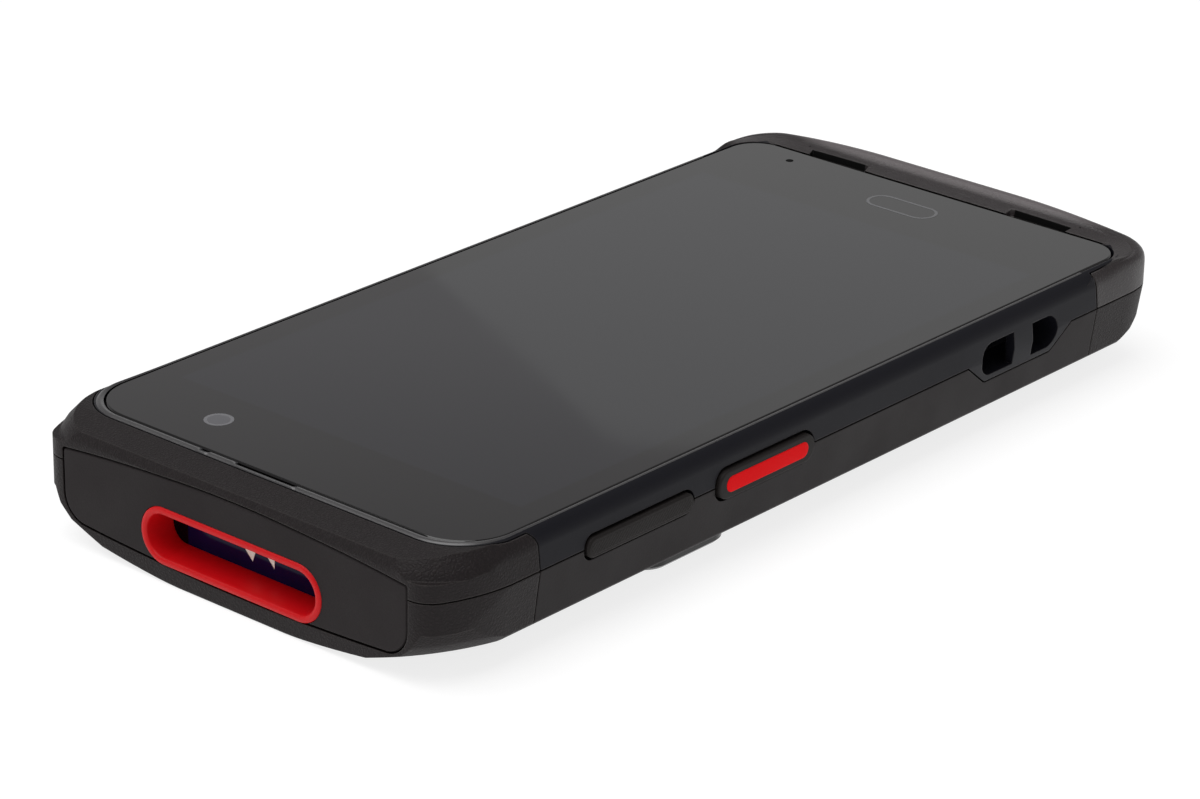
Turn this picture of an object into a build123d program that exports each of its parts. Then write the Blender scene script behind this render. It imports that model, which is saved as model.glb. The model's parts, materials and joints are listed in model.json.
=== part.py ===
from build123d import *
import math
import os

# Handheld barcode terminal, lying on its back: millimetres, +Z out of the screen,
# +Y towards the scan window, +X to the right of a person who reads the screen.
# The origin is under the middle of the housing, on the surface that it rests on.
# Most places are measured in from the sides and ends of the body, so that they follow it.

# ---- overall body --------------------------------------------------------------
body_width = 76.0          # across the parting line of the two housings
body_length = 154.8        # scan end panel to base end
glass_top = 17.4           # height of the glass face over the resting face
lip_rise = 1.7             # raised lip at the base end, over the glass
seam_height = 11.9         # parting line between front frame and rear housing
seam_gap = 0.22            # visible gap between two outer pieces
fit_gap = 0.05             # clearance between pieces that sit in each other
wall = 2.0                 # rear housing wall
frame_wall = 2.4           # front frame wall
skin = 1.0                 # thickness of the moulded end guards

# ---- plan of the housing corners -----------------------------------------------
# (easing radius of the side, radius at the end, inset of the straight end from the side)
scan_corner = (24.0, 4.0, 6.2)
base_corner = (16.0, 5.5, 5.8)

# ---- cross-section ---------------------------------------------------------------
crown_radius = 170.0       # crown of the underside
rest_half = 8.0            # half width of the flat strip that it rests on
foot_inset = 1.1           # lean of the side wall below the parting line
foot_radius = 1.8
side_lean = 7.8            # degrees, of the lean below the parting line
lean_reach = (0.0, 1.7, 0.0)
scan_roll = (36.0, 18.0, 24.0)   # plan of the roll that turns the lower corners under
base_roll = (24.0, 13.0, 13.0)
roll_reach = (1.8, 12.0, 4.0)    # it stands outside the sides, the scan end and the base end
roll_top = 7.5             # where the roll starts
roll_stages = [(2.0, 22.0), (1.8, 42.0), (4.4, 64.0)]   # its heights and drafts, going down
roll_rise = 0.45           # the roll starts higher by this share of an inset
foot_flare = 1.7           # the section's side leans out past the drafted plan, at the top
foot_radius_loss = 0.5     # share of an inset that a foot radius loses
scan_foot_radius = 0.35
rise_length = 21.4         # the underside lifts off over this length of the base end
base_foot_inset = 1.6      # lean of the base end wall
base_foot_z = 2.6
base_foot_radius = 2.2
bevel_height = 3.2         # the frame's side is upright this far over the parting line
bevel_inset = 0.35         # where its bevel starts
bevel_bulge = 0.40         # crown of the bevel
rail_top_inset = 2.22      # and where it meets the glass

# ---- scan end ---------------------------------------------------------------------
bezel_inset = 1.8          # the rim round the glass, from the side
bezel_end_inset = 5.5
bezel_radius = 8.4
bezel_base_inset = 3.2
bezel_base_radius = 7.5
ear_left = -5.8
ear_right = 5.0
ear_width = 0.65
notch_left = 10.1
notch_right = 11.6
notch_width = 0.4
crease_back = 0.7          # crease of the end guard, behind the end plane
crease_drop = 0.7          # and below the glass
corner_bevel = (28.0, 12.0, 12.0)   # plan of the bevel over the upper scan corners
bevel_reach = (0.45, 1.2, 8.0)      # it stands outside the sides, the scan end and the base end
bevel_low = 14.6           # where the bevel starts
bevel_stages = [(1.2, 33.0), (2.4, 43.0)]   # its heights and drafts, going up
bevel_fall = 0.5           # the bevel starts lower by this share of an inset
scan_guard_length = 17.4   # scan end guard, from the end to its joint
joint_radius = 2.0         # rounded upper corner of that joint
panel_inset = 6.7          # end panel, from the side
panel_top = 15.5
panel_crown_radius = 280.0
panel_base = 2.6
panel_side_foot = 4.0
panel_thickness = 2.4
panel_top_radius = 0.5
panel_edge_break = 0.2
panel_base_share = 0.45    # share of the underside's crown in the panel's lower edge
ring_length = 33.0
ring_height = 8.3
ring_z = 6.8
ring_rim = 1.05
ring_draft = 0.55
ring_depth = 4.3
ring_proud = 0.25
ring_edge_break = 0.3
nose_wall = 3.1            # end wall behind the panel
window_thickness = 1.0
window_rim = 0.3

# ---- base end -----------------------------------------------------------------------
base_guard_length = 15.9   # base end guard, from the end to its joint
lip_ramp_start = 20.4      # the lip's ramp along the sides starts this far from the end
lip_ramp_end = 10.4
lip_flat_start = 5.4
lip_side_inset = 2.0       # the lip's sides lean in to here at its top
lip_side_shoulder = 0.8
lip_side_drop = 1.2
lip_crown = 0.35
lip_lean = 54.0            # degrees, of the lip's inner wall
lip_flat_half = 14.0       # the crest is level in the middle and falls towards the sides
lip_side_fall = 2.5
lip_roll_low = 2.25        # the roll of the outer edge starts this far under the top
lip_reach = (0.0, 8.0, 0.0)   # the roll's plan, outside the sides, the scan end and the base end
lip_roll_stages = [(0.9, 12.0), (0.6, 26.0), (0.45, 44.0), (0.3, 62.0)]
slot_length = 11.3
slot_height = 0.9
slot_side_inset = 19.0
slot_drop = 1.6            # the sound slots lie this far under the lip's top
slot_depth = 2.6
duct_width = 1.0

# ---- glass and display ----------------------------------------------------------------
glass_inset = 2.67
glass_scan_inset = 7.0
glass_base_inset = 5.6
glass_scan_radius = 7.9
glass_base_radius = 5.0
glass_thickness = 1.1
glass_chamfer = 0.22
glass_gap = 0.3
tape_thickness = 0.2
tape_inset = 0.15
picture_side_border = 4.2  # glass edge to picture
picture_scan_border = 14.35
picture_base_border = 17.15
display_side_rim = 1.37    # display module beyond its picture
display_scan_rim = 2.15
display_base_rim = 4.75
display_gap = 0.3
camera_side_inset = 21.1
camera_end_inset = 14.9
camera_radius = 1.35
camera_play = 0.3
camera_socket_half = 3.0
camera_socket_depth = 2.0

# ---- chassis ------------------------------------------------------------------------------
display_thickness = 1.7
chassis_thickness = 1.2
chassis_gap = 0.15
mounting_gap = 0.05        # modules that hang under the chassis

# ---- strap bar on the left side ------------------------------------------------------------
strap_end_inset = 34.8     # middle of the pocket, from the base end
strap_length = 18.2
strap_height = 4.9
strap_depth = 6.1
strap_bar_width = 4.4
strap_bar_shift = 0.8      # the bar is this far off the pocket's middle
strap_bar_thickness = 1.6
strap_wall = 1.0
tongue_drop = 3.25         # the frame's tongue dips this far under the parting line
tongue_top_length = 24.1
tongue_foot_length = 15.7
tongue_radius = 1.2

# ---- side keys ---------------------------------------------------------------------------
key_proud = 0.42
key_gap = 0.42             # clearance round a key cap
key_flange = 0.9           # how far the retaining flange stands out behind the wall
key_flange_thickness = 0.6
key_travel = 0.35
key_rest_gap = 0.1         # between a key at rest and its switch, over the travel
key_edge_break = 0.3
flange_gap = 0.12          # running gap of the flange behind the wall
volume_end_inset = 36.85   # middle of the rocker, from the scan end
volume_length = 21.1
volume_height = 2.9
scan_key_end_inset = 62.5
scan_key_length = 20.2
scan_key_height = 4.1
power_end_inset = 33.4
power_length = 10.0
power_height = 2.9
stripe_side_margin = 0.9   # key face round the inlay
stripe_end_margin = 1.5
stripe_proud = 0.06
stripe_depth = 0.7
rocker_flange = 7.0        # the rocker's flange is short, so that it can tilt
rocker_switch = 6.5        # each of its switches lies this far from its middle
switch_size = 3.0
switch_depth = 0.8
switch_drop = 0.6          # the switches sit this much under the key's middle
bracket_thickness = 0.8
bracket_foot = 2.0
bracket_gap = 0.2
flex_thickness = 0.2
strip_below = 2.5          # the switch strips, under and over the parting line
strip_above = 1.0

# ---- battery, door and latch -------------------------------------------------------------
door_inset = 9.0           # door, from the side
door_scan_inset = 67.4     # and from the two ends
door_base_inset = 20.4
door_radius = 4.0
door_thickness = 1.5
battery_inset = 2.0        # battery, inside the door's outline
battery_scan_inset = 1.3
battery_base_inset = 2.7
battery_thickness = 7.0
battery_floor = 3.9
battery_edge_radius = 1.5
terminal_half = 9.0        # block of spring contacts at the battery's scan end
terminal_gap = 0.2
terminal_lift = 0.4
terminal_reach = 1.5       # it reaches this far under the board
terminal_count = 4
terminal_pitch = 3.6
terminal_slot = 1.2
terminal_slot_foot = 1.1
terminal_slot_height = 4.0
latch_width = 13.0
latch_pad_length = 4.6
latch_travel = 2.0
latch_inset = 0.3          # the pad lies this far inside the resting face
latch_door_gap = 1.8       # between the door and the pad
latch_side_gap = 0.2
latch_gap = 0.15           # running gap between the latch plate and the floor
latch_flange = 1.4
latch_hold = 1.6           # how far the plate reaches over the door
latch_plate_thickness = 1.0
latch_groove = 0.5
latch_groove_depth = 0.35
latch_groove_inset = 1.0

# ---- rear camera ------------------------------------------------------------------------
plate_side_inset = 3.8
plate_end_inset = 42.9     # upper edge of the plate, from the scan end
plate_width = 16.7
plate_length = 18.0
plate_face = 1.1
plate_back = 4.2
plate_radius = 4.0
plate_edge_break = 0.5
rear_lens_inset = 5.6      # from the plate's upper edge
rear_lens_radius = 3.4
rear_lens_recess = 0.15
rear_cover_depth = 1.0
rear_module_half = 4.3
rear_module_height = 5.0
module_gap = 0.1
flash_inset = 13.9
flash_radius = 2.2

# ---- boards and modules -------------------------------------------------------------------
board_side_inset = 5.7
board_scan_inset = 20.4
board_door_gap = 1.5       # board, from the door's scan end
board_thickness = 1.0
board_drop = 0.3           # board top under the chassis
board_corner_radius = 2.0
can_height = 1.9           # shield cans under the board
can_margin = 2.8
can_gap = 5.0
can_corner_radius = 0.8
left_can_length = 25.0
right_can_length = 18.0
upper_can_length = 17.5
upper_can_gap = 2.5
upper_can_trim = 7.5
chip_height = 1.0
chip_sizes = (7.0, 5.0, 4.0)
chip_gap = 3.0
edge_chip_sizes = (4.5, 5.5)
engine_width = 24.0
engine_length = 13.6
engine_height = 7.2
engine_edge_radius = 0.6
engine_front_gap = 0.3
lens_x = 3.0
lens_radius = 2.6
lens_rim = 0.9
lens_recess = 1.6
lens_set_back = 0.3
lamp_x = 8.6
lamp_half = 1.9
lamp_half_height = 1.52
bracket_plate = 0.8
bracket_ear = 5.0
bracket_ear_length = 6.0
receiver_half = 6.0        # earpiece receiver
receiver_length = 7.0
receiver_end_inset = 6.9
receiver_height = 2.3
receiver_radius = 1.5
speaker_width = 14.0
speaker_length = 9.0
speaker_end_inset = 3.4
speaker_radius = 1.0
mesh_thickness = 0.3
motor_side_inset = 18.0
motor_end_inset = 14.9
motor_radius = 4.0
motor_height = 2.7
usb_width = 8.9
usb_height = 3.2
usb_depth = 7.4
usb_z = 7.4
usb_shell = 0.3
usb_tongue_half = 3.3
usb_tongue_thickness = 0.7
usb_tongue_recess = 0.8
port_gap = 0.15
base_board_length = 13.3
base_board_end_gap = 1.6
base_board_side_inset = 12.4
base_board_thickness = 0.8
base_board_gap = 0.1
contact_count = 5
contact_pitch = 2.6
contact_width = 1.6
contact_height = 2.6
contact_port_gap = 3.55    # nearest contact to the port
contact_inset = 1.0
contact_depth = 3.0
mic_port_gap = 7.55
mic_radius = 0.5
screw_radius = 1.5
screw_head_radius = 2.4
screw_head_gap = 0.15
screw_head_height = 1.6
screw_socket_radius = 1.1
screw_socket_depth = 0.9
screw_seat = 6.0
screw_side_inset = 8.5
screw_scan_inset = 12.9
screw_base_inset = 10.4
screw_end_gap = 0.1
boss_radius = 3.2
seal_outer = 0.7
seal_inner = 1.5

# ---- values that follow -------------------------------------------------------------------
half_w = body_width / 2
half_l = body_length / 2
lip_top = glass_top + lip_rise
foot_half = half_w - foot_inset
base_foot_y = half_l - base_foot_inset
rise_start = half_l - rise_length
bevel_foot = seam_height + bevel_height
bevel_half = half_w - bevel_inset
rail_top_half = half_w - rail_top_inset
bezel_end = half_l - bezel_end_inset
scan_joint = half_l - scan_guard_length
base_joint = half_l - base_guard_length
panel_half = half_w - panel_inset
crown_sag = crown_radius - math.sqrt(crown_radius ** 2 - rest_half ** 2)
crown_centre = crown_radius - crown_sag
glass_half = half_w - glass_inset
glass_scan_end = half_l - glass_scan_inset
glass_base_end = glass_base_inset - half_l
glass_seat = glass_top - glass_thickness
tape_seat = glass_seat - tape_thickness
picture_half = glass_half - picture_side_border
picture_scan_end = glass_scan_end - picture_scan_border
picture_base_end = glass_base_end + picture_base_border
chassis_top = tape_seat - display_thickness
camera_x = half_w - camera_side_inset
camera_y = half_l - camera_end_inset
chassis_bottom = chassis_top - chassis_thickness
nose_wall_inner = half_l - panel_thickness - nose_wall
window_back = half_l - ring_depth - window_thickness
engine_front = window_back - engine_front_gap
slot_x = half_w - slot_side_inset
strap_y = strap_end_inset - half_l
strap_bar_y = strap_y - strap_bar_shift
scan_key_y = half_l - scan_key_end_inset
volume_y = half_l - volume_end_inset
power_y = half_l - power_end_inset
door_half = half_w - door_inset
door_scan_end = half_l - door_scan_inset
door_base_end = door_base_inset - half_l
latch_y = door_scan_end + latch_door_gap
plate_left = plate_side_inset - half_w
plate_high = half_l - plate_end_inset
rear_camera_x = plate_left + plate_width / 2
rear_lens_y = plate_high - rear_lens_inset
flash_y = plate_high - flash_inset
board_half = half_w - board_side_inset
board_low = door_scan_end + board_door_gap
board_high = half_l - board_scan_inset
board_top = chassis_bottom - board_drop
board_bottom = board_top - board_thickness
base_board_bottom = usb_z + usb_height / 2 + base_board_gap
motor_x = motor_side_inset - half_w
motor_y = half_l - motor_end_inset
contact_end = -usb_width / 2 - contact_port_gap - contact_width / 2
mic_x = usb_width / 2 + mic_port_gap
screw_x = half_w - screw_side_inset
screw_scan_y = half_l - screw_scan_inset
screw_base_y = screw_base_inset - half_l
far = 60.0                 # reaches past the body in every cut
past = 2.0                 # a cut's run past the face that it opens


def mirrored(points):
    """Mirror a list of plan points in the YZ plane."""
    return [(-x, y) for x, y in points]


def arc_middle(start, centre, end):
    """Middle of the shorter arc from start to end about centre."""
    radius = math.dist(start, centre)
    dx = start[0] + end[0] - 2 * centre[0]
    dy = start[1] + end[1] - 2 * centre[1]
    length = math.hypot(dx, dy)
    return (centre[0] + dx / length * radius, centre[1] + dy / length * radius)


def corner(half_width, reach, side_radius, end_radius, flat_half):
    """Points of one plan corner: a long side arc that runs into a short end arc."""
    side_x = half_width - side_radius
    end_y = reach - end_radius
    run = flat_half - side_x
    side_y = end_y - math.sqrt((side_radius - end_radius) ** 2 - run ** 2)
    ratio = side_radius / (side_radius - end_radius)
    start = (half_width, side_y)
    joint = (side_x + run * ratio, side_y + (end_y - side_y) * ratio)
    end = (flat_half, reach)
    side_middle = arc_middle(start, (side_x, side_y), joint)
    end_middle = arc_middle(joint, (flat_half, end_y), end)
    return [start, side_middle, joint, end_middle, end]


def plan(inset, scan_form, base_form, reach=(0.0, 0.0, 0.0)):
    """Closed plan with a two-arc corner form at each end, moved in by inset.

    A form is (side radius, end radius, how far the straight end stops inside the body's side).
    The sides, the scan end and the base end stand outside the body by the lengths of reach."""
    w = half_w + reach[0] - inset
    scan = corner(w, half_l + reach[1] - inset, scan_form[0] - inset, scan_form[1] - inset,
                  half_w - scan_form[2])
    base = corner(w, half_l + reach[2] - inset, base_form[0] - inset, base_form[1] - inset,
                  half_w - base_form[2])
    base = [(x, -y) for x, y in base]
    with BuildSketch() as sketch:
        with BuildLine():
            for points in (scan, mirrored(scan), base, mirrored(base)):
                ThreePointArc(*points[0:3])
                ThreePointArc(*points[2:5])
            Line(scan[0], base[0])
            Line(mirrored(scan)[0], mirrored(base)[0])
            Line(scan[4], mirrored(scan)[4])
            Line(base[4], mirrored(base)[4])
        make_face()
    return sketch.sketch


def body_outline(inset=0.0):
    """Plan of the housing, moved in by inset."""
    return plan(inset, scan_corner, base_corner)


def drafted(outline, z, way, stages):
    """Outline pulled from z in stages of (height, draft), up where way is 1 and down for -1."""
    form = Part()
    face = (Pos(0, 0, z) * outline).faces()[0]
    for height, draft in stages:
        stage = extrude(face, height, dir=(0, 0, way), taper=draft)
        face = stage.faces().sort_by(Axis.Z)[-1 if way > 0 else 0]
        form += stage
    return form


def rounded(width, low, high, low_radius, high_radius):
    """Plan rectangle from y low to y high with its own corner radius at each end."""
    sketch = Sketch() + Pos(0, (low + high) / 2) * Rectangle(width, high - low)
    lows = sketch.vertices().group_by(Axis.Y)[0]
    sketch = fillet(lows, low_radius)
    highs = sketch.vertices().group_by(Axis.Y)[-1]
    return fillet(highs, high_radius)


def prism(sketch, low, high):
    """Sketch of the XY plane pulled from z low to z high."""
    return extrude(Pos(0, 0, low) * sketch, high - low)


def block(x0, x1, y0, y1, z0, z1):
    """Box between two corners."""
    middle = ((x0 + x1) / 2, (y0 + y1) / 2, (z0 + z1) / 2)
    return Pos(*middle) * Box(abs(x1 - x0), abs(y1 - y0), abs(z1 - z0))


def side_stadium(length, height, y, z, x0, x1):
    """Stadium in the YZ plane, long along Y, pulled from x0 to x1."""
    sketch = Plane.YZ * Pos(y, z) * SlotOverall(length, height)
    return extrude(Pos(x0, 0, 0) * sketch, x1 - x0)


def end_stadium(length, height, x, z, y0, y1):
    """Stadium in the XZ plane, long along X, pulled from y0 to y1."""
    sketch = Plane.XZ * Pos(x, z) * SlotOverall(length, height)
    return extrude(Pos(0, y1, 0) * sketch, y1 - y0)


def rod(x, y, radius, low, high):
    """Upright cylinder."""
    return Pos(x, y, (low + high) / 2) * Cylinder(radius, high - low)


def end_rod(x, z, radius, y0, y1):
    """Cylinder along Y."""
    return Pos(x, (y0 + y1) / 2, z) * Rot(90, 0, 0) * Cylinder(radius, abs(y1 - y0))


def along_y(sketch):
    """XZ sketch pulled both ways past the ends of the body."""
    return extrude(Plane.XZ * sketch, half_l + far, both=True)


def along_x(sketch):
    """YZ sketch pulled both ways past the sides of the body."""
    return extrude(Plane.YZ * sketch, half_w + far, both=True)


# ---- outer forms --------------------------------------------------------------------------
def crown_z(x, inset=0.0):
    """Height of the underside crown at x, moved in by inset."""
    return crown_centre - math.sqrt((crown_radius - inset) ** 2 - x ** 2)


def lower_section(inset, top):
    """Cross-section of the rear housing: flat strip, crown, small foot radius, leaning side."""
    flat = math.sqrt((crown_radius - inset) ** 2 - (crown_centre - inset) ** 2)
    foot = (foot_half - inset, crown_z(foot_half - inset, inset))
    lean = foot_flare / (seam_height - crown_z(foot_half))
    shoulder = (foot[0] + lean * (top - foot[1]), top)
    middle_x = (flat + foot[0]) / 2
    middle = (middle_x, crown_z(middle_x, inset))
    with BuildSketch() as sketch:
        with BuildLine():
            Line((-flat, inset), (flat, inset))
            for side in (1, -1):
                arc = [(side * x, z) for x, z in ((flat, inset), middle, foot)]
                ThreePointArc(*arc)
                Line((side * foot[0], foot[1]), (side * shoulder[0], shoulder[1]))
            Line((-shoulder[0], top), shoulder)
        make_face()
        feet = [v for v in sketch.vertices() if abs(abs(v.X) - foot[0]) < 0.01 and v.Y < top - 1]
        fillet(feet, foot_radius - inset * foot_radius_loss)
    return sketch.sketch


def lower_profile(inset, top):
    """Lengthwise section of the rear housing: upright scan end, lifted base end."""
    run = base_foot_y - rise_start
    rise_radius = (run ** 2 + base_foot_z ** 2) / (2 * base_foot_z) - inset
    foot_y = base_foot_y - inset
    foot_z = inset + rise_radius - math.sqrt(rise_radius ** 2 - (foot_y - rise_start) ** 2)
    half_run = rise_start + (foot_y - rise_start) / 2
    half_z = inset + rise_radius - math.sqrt(rise_radius ** 2 - (half_run - rise_start) ** 2)
    lean = (half_l - base_foot_y) / (seam_height - base_foot_z)
    shoulder = -foot_y - lean * (top - foot_z)
    scan = half_l - inset
    with BuildSketch() as sketch:
        with BuildLine():
            Line((scan, top), (scan, inset))
            Line((scan, inset), (-rise_start, inset))
            ThreePointArc((-rise_start, inset), (-half_run, half_z), (-foot_y, foot_z))
            Line((-foot_y, foot_z), (shoulder, top))
            Line((shoulder, top), (scan, top))
        make_face()
        scan_foot = [v for v in sketch.vertices() if v.X > scan - 0.01 and v.Y < top - 1]
        fillet(scan_foot, scan_foot_radius / (1 + inset))
        base_foot = [v for v in sketch.vertices() if abs(v.X + foot_y) < 0.01 and v.Y < top - 1]
        fillet(base_foot, base_foot_radius - inset * foot_radius_loss)
    return sketch.sketch


def lower_form(inset=0.0, top=seam_height):
    """Solid of the rear housing's outside, moved in by inset, up to z top."""
    leaning = drafted(plan(inset, scan_corner, base_corner, lean_reach), seam_height, -1,
                      [(seam_height + 1, side_lean)])
    rolled = drafted(plan(inset, scan_roll, base_roll, roll_reach),
                     roll_top + inset * roll_rise, -1, roll_stages)
    form = prism(body_outline(inset), -1, top)
    form &= along_y(lower_section(inset, top))
    form &= along_x(lower_profile(inset, top))
    below = leaning + prism(body_outline(inset - 1), seam_height, seam_height + past)
    form &= below
    above_roll = prism(body_outline(-far), roll_top + inset * roll_rise, top + past)
    return form & (rolled + above_roll)


def rail_section():
    """Cross-section of the front frame: upright rail and crowned bevel to the glass."""
    low = (bevel_half, bevel_foot)
    high = (rail_top_half, glass_top)
    run = math.dist(low, high)
    out = ((high[1] - low[1]) / run, (low[0] - high[0]) / run)
    middle = ((low[0] + high[0]) / 2 + out[0] * bevel_bulge,
              (low[1] + high[1]) / 2 + out[1] * bevel_bulge)
    with BuildSketch() as sketch:
        with BuildLine():
            for side in (1, -1):
                Line((side * half_w, seam_height), (side * low[0], low[1]))
                ThreePointArc(*[(side * x, z) for x, z in (low, middle, high)])
            Line((-high[0], glass_top), high)
            Line((-half_w, seam_height), (half_w, seam_height))
        make_face()
    return sketch.sketch


def scan_profile(inset):
    """Lengthwise section of the front frame: slope, crease and band of its scan end."""
    end = half_l - inset
    top = glass_top - inset
    back = -half_l - far
    corners = [(back, seam_height), (end, seam_height), (end, panel_top - inset)]
    corners += [(end - crease_back, top - crease_drop), (bezel_end, top), (back, top)]
    return make_face(Polyline(*(corners + corners[:1])))


def frame_form(inset=0.0):
    """Solid of the front frame's scan end and top, moved in by inset, without its rails."""
    low = bevel_low - inset * bevel_fall
    bevel = drafted(plan(inset, corner_bevel, base_corner, bevel_reach), low, 1, bevel_stages)
    bevel += prism(body_outline(inset - 1), seam_height, low)
    return prism(body_outline(inset), seam_height, glass_top) & along_x(scan_profile(inset)) & bevel


def crest_section():
    """Cross-section of the lip's crest: level in the middle, falling away in an arc each side."""
    fall_run = half_w - lip_flat_half
    radius = (fall_run ** 2 + lip_side_fall ** 2) / (2 * lip_side_fall)
    half_x = lip_flat_half + fall_run / 2
    half_z = lip_top - radius + math.sqrt(radius ** 2 - (fall_run / 2) ** 2)
    with BuildSketch() as sketch:
        with BuildLine():
            for sign in (1, -1):
                ThreePointArc((sign * lip_flat_half, lip_top), (sign * half_x, half_z),
                              (sign * half_w, lip_top - lip_side_fall))
                Line((sign * half_w, lip_top - lip_side_fall), (sign * half_w, seam_height))
            Line((-lip_flat_half, lip_top), (lip_flat_half, lip_top))
            Line((-half_w, seam_height), (half_w, seam_height))
        make_face()
    return sketch.sketch


def lip_form():
    """Raised lip of the base end, ramped up along the sides, with a rolled outer edge."""
    ramp = [(lip_ramp_start - half_l, bevel_foot), (lip_ramp_end - half_l, lip_top - lip_crown)]
    behind = -half_l - past
    crest = [(lip_flat_start - half_l, lip_top), (behind, lip_top)]
    profile = make_face(Polyline(*(ramp + crest + [(behind, bevel_foot), ramp[0]])))
    shoulder = (bevel_half - lip_side_shoulder, lip_top - lip_side_drop)
    side = [(half_w, seam_height), (bevel_half, bevel_foot), shoulder]
    side += [(half_w - lip_side_inset, lip_top)]
    section = make_face(Polyline(*(side + [(-x, z) for x, z in reversed(side)] + side[:1])))
    low = lip_top - lip_roll_low
    roll = drafted(plan(0, scan_corner, base_corner, lip_reach), low, 1, lip_roll_stages)
    form = prism(body_outline(), bevel_foot, lip_top)
    form &= along_y(section)
    form &= along_y(crest_section())
    form &= along_x(profile)
    return form & (roll + prism(body_outline(-1), bevel_foot, low))


def glass_outline(grow=0.0):
    """Plan of the cover glass, grown by grow."""
    return rounded(2 * (glass_half + grow), glass_base_end - grow, glass_scan_end + grow,
                   glass_base_radius + grow, glass_scan_radius + grow)


def upper_form():
    """Solid of the front frame's outside, from the parting line up."""
    form = frame_form() & along_y(rail_section())
    form += lip_form()
    opening = Pos(0, 0, glass_top) * glass_outline(glass_gap)
    form -= extrude(opening, lip_rise + 1, taper=-lip_lean)
    return form


# ---- strap bar ------------------------------------------------------------------------------
def tongue_outline(grow=0.0):
    """YZ outline of the frame's tongue round the strap bar, grown by grow."""
    foot = seam_height - tongue_drop - grow
    top = seam_height + 1.0
    slope = tongue_drop * 2 / (tongue_top_length - tongue_foot_length)
    flank = math.hypot(1, slope)
    half_foot = tongue_foot_length / 2 + grow * (flank - 1) / slope
    half_top = half_foot + (top - foot) / slope
    corners = [(strap_y - half_foot, foot), (strap_y + half_foot, foot)]
    corners += [(strap_y + half_top, top), (strap_y - half_top, top)]
    outline = make_face(Polyline(*(corners + corners[:1])))
    return fillet([v for v in outline.vertices() if v.Y < foot + 0.01], tongue_radius + grow)


def tongue_block(grow=0.0):
    """Block of the tongue, from outside the left wall to behind the strap pocket."""
    inner = -half_w + strap_depth + strap_wall + grow
    sketch = Plane.YZ * tongue_outline(grow)
    return extrude(Pos(-half_w - past, 0, 0) * sketch, inner + half_w + past)


def strap_pocket():
    """Stadium pocket of the strap bar, less the bar across its mouth."""
    pocket = side_stadium(strap_length, strap_height, strap_y, seam_height,
                          -half_w - 1, -half_w + strap_depth)
    bar = block(-half_w - 1, -half_w + strap_bar_thickness,
                strap_bar_y - strap_bar_width / 2, strap_bar_y + strap_bar_width / 2,
                seam_height - strap_height, seam_height + strap_height)
    return pocket - bar


# ---- side keys ---------------------------------------------------------------------------
# name: (side, middle, length, height, length of the retaining flange)
full_flange = 2 * key_flange
KEYS = {
    "volume_rocker": (-1, volume_y, volume_length, volume_height, rocker_flange),
    "left_scan_key": (-1, scan_key_y, scan_key_length, scan_key_height,
                      scan_key_length + full_flange),
    "right_scan_key": (1, scan_key_y, scan_key_length, scan_key_height,
                       scan_key_length + full_flange),
    "power_key": (1, power_y, power_length, power_height, power_length + full_flange),
}
key_wall_inner = half_w - frame_wall
flange_outer = key_wall_inner - flange_gap
flange_inner = flange_outer - key_flange_thickness
switch_outer = flange_inner - key_travel - key_rest_gap
switch_inner = switch_outer - switch_depth
bracket_outer = switch_inner - flex_thickness
bracket_inner = bracket_outer - bracket_thickness
strip_low = seam_height - strip_below
strip_high = seam_height + strip_above


def key_opening(side, y, length, height, flange_length):
    """Hole through the side wall for a key cap."""
    return side_stadium(length + 2 * key_gap, height + 2 * key_gap, y, seam_height,
                        side * bracket_inner, side * (half_w + past))


def key_room(side, y, length, height, flange_length):
    """Room behind the side wall for a key's flange, its switches and their bracket."""
    play = 2 * (key_flange + key_gap)
    return side_stadium(length + play, height + play, y, seam_height,
                        side * (bracket_inner - bracket_gap), side * key_wall_inner)


def make_key(side, y, length, height, flange_length):
    """Key: stadium cap with a broken edge, and the flange that keeps it in."""
    cap = side_stadium(length, height, y, seam_height,
                       side * flange_inner, side * (half_w + key_proud))
    face = cap.faces().sort_by(Axis.X)[0 if side < 0 else -1]
    cap = chamfer(face.edges(), key_edge_break)
    return cap + side_stadium(flange_length, height + full_flange, y, seam_height,
                              side * flange_inner, side * flange_outer)


def stripe_form(side, proud):
    """Inlay of a scan key, from its pocket's floor to proud of the key's face."""
    outer = half_w + key_proud
    return side_stadium(scan_key_length - 2 * stripe_end_margin,
                        scan_key_height - 2 * stripe_side_margin, scan_key_y, seam_height,
                        side * (outer - stripe_depth), side * (outer + proud))


def make_switches():
    """One dome switch behind each scan and power key, two behind the rocker."""
    places = [(-1, volume_y + rocker_switch), (-1, volume_y - rocker_switch)]
    places += [(-1, scan_key_y), (1, scan_key_y), (1, power_y)]
    half = switch_size / 2
    middle = seam_height - switch_drop
    domes = Part()
    for side, y in places:
        domes += block(side * switch_inner, side * switch_outer, y - half, y + half,
                       middle - half, middle + half)
    return domes


def key_strip_span(side):
    """Lowest and highest Y of a side's switch strip."""
    ends = [(y - length / 2, y + length / 2) for s, y, length, _, _ in KEYS.values() if s == side]
    return min(end[0] for end in ends), max(end[1] for end in ends)


def make_flex(side):
    """Flexible circuit strip that carries the switches of one side."""
    low, high = key_strip_span(side)
    return block(side * bracket_outer, side * switch_inner, low, high, strip_low, strip_high)


def make_key_bracket(side):
    """Folded steel strip that backs the switches of one side, with a foot under the board."""
    low, high = key_strip_span(side)
    strip = block(side * bracket_inner, side * bracket_outer, low, high, strip_low, strip_high)
    foot = block(side * (bracket_inner - bracket_foot), side * bracket_outer,
                 low, high, strip_low, strip_low + bracket_thickness)
    return strip + foot


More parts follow.
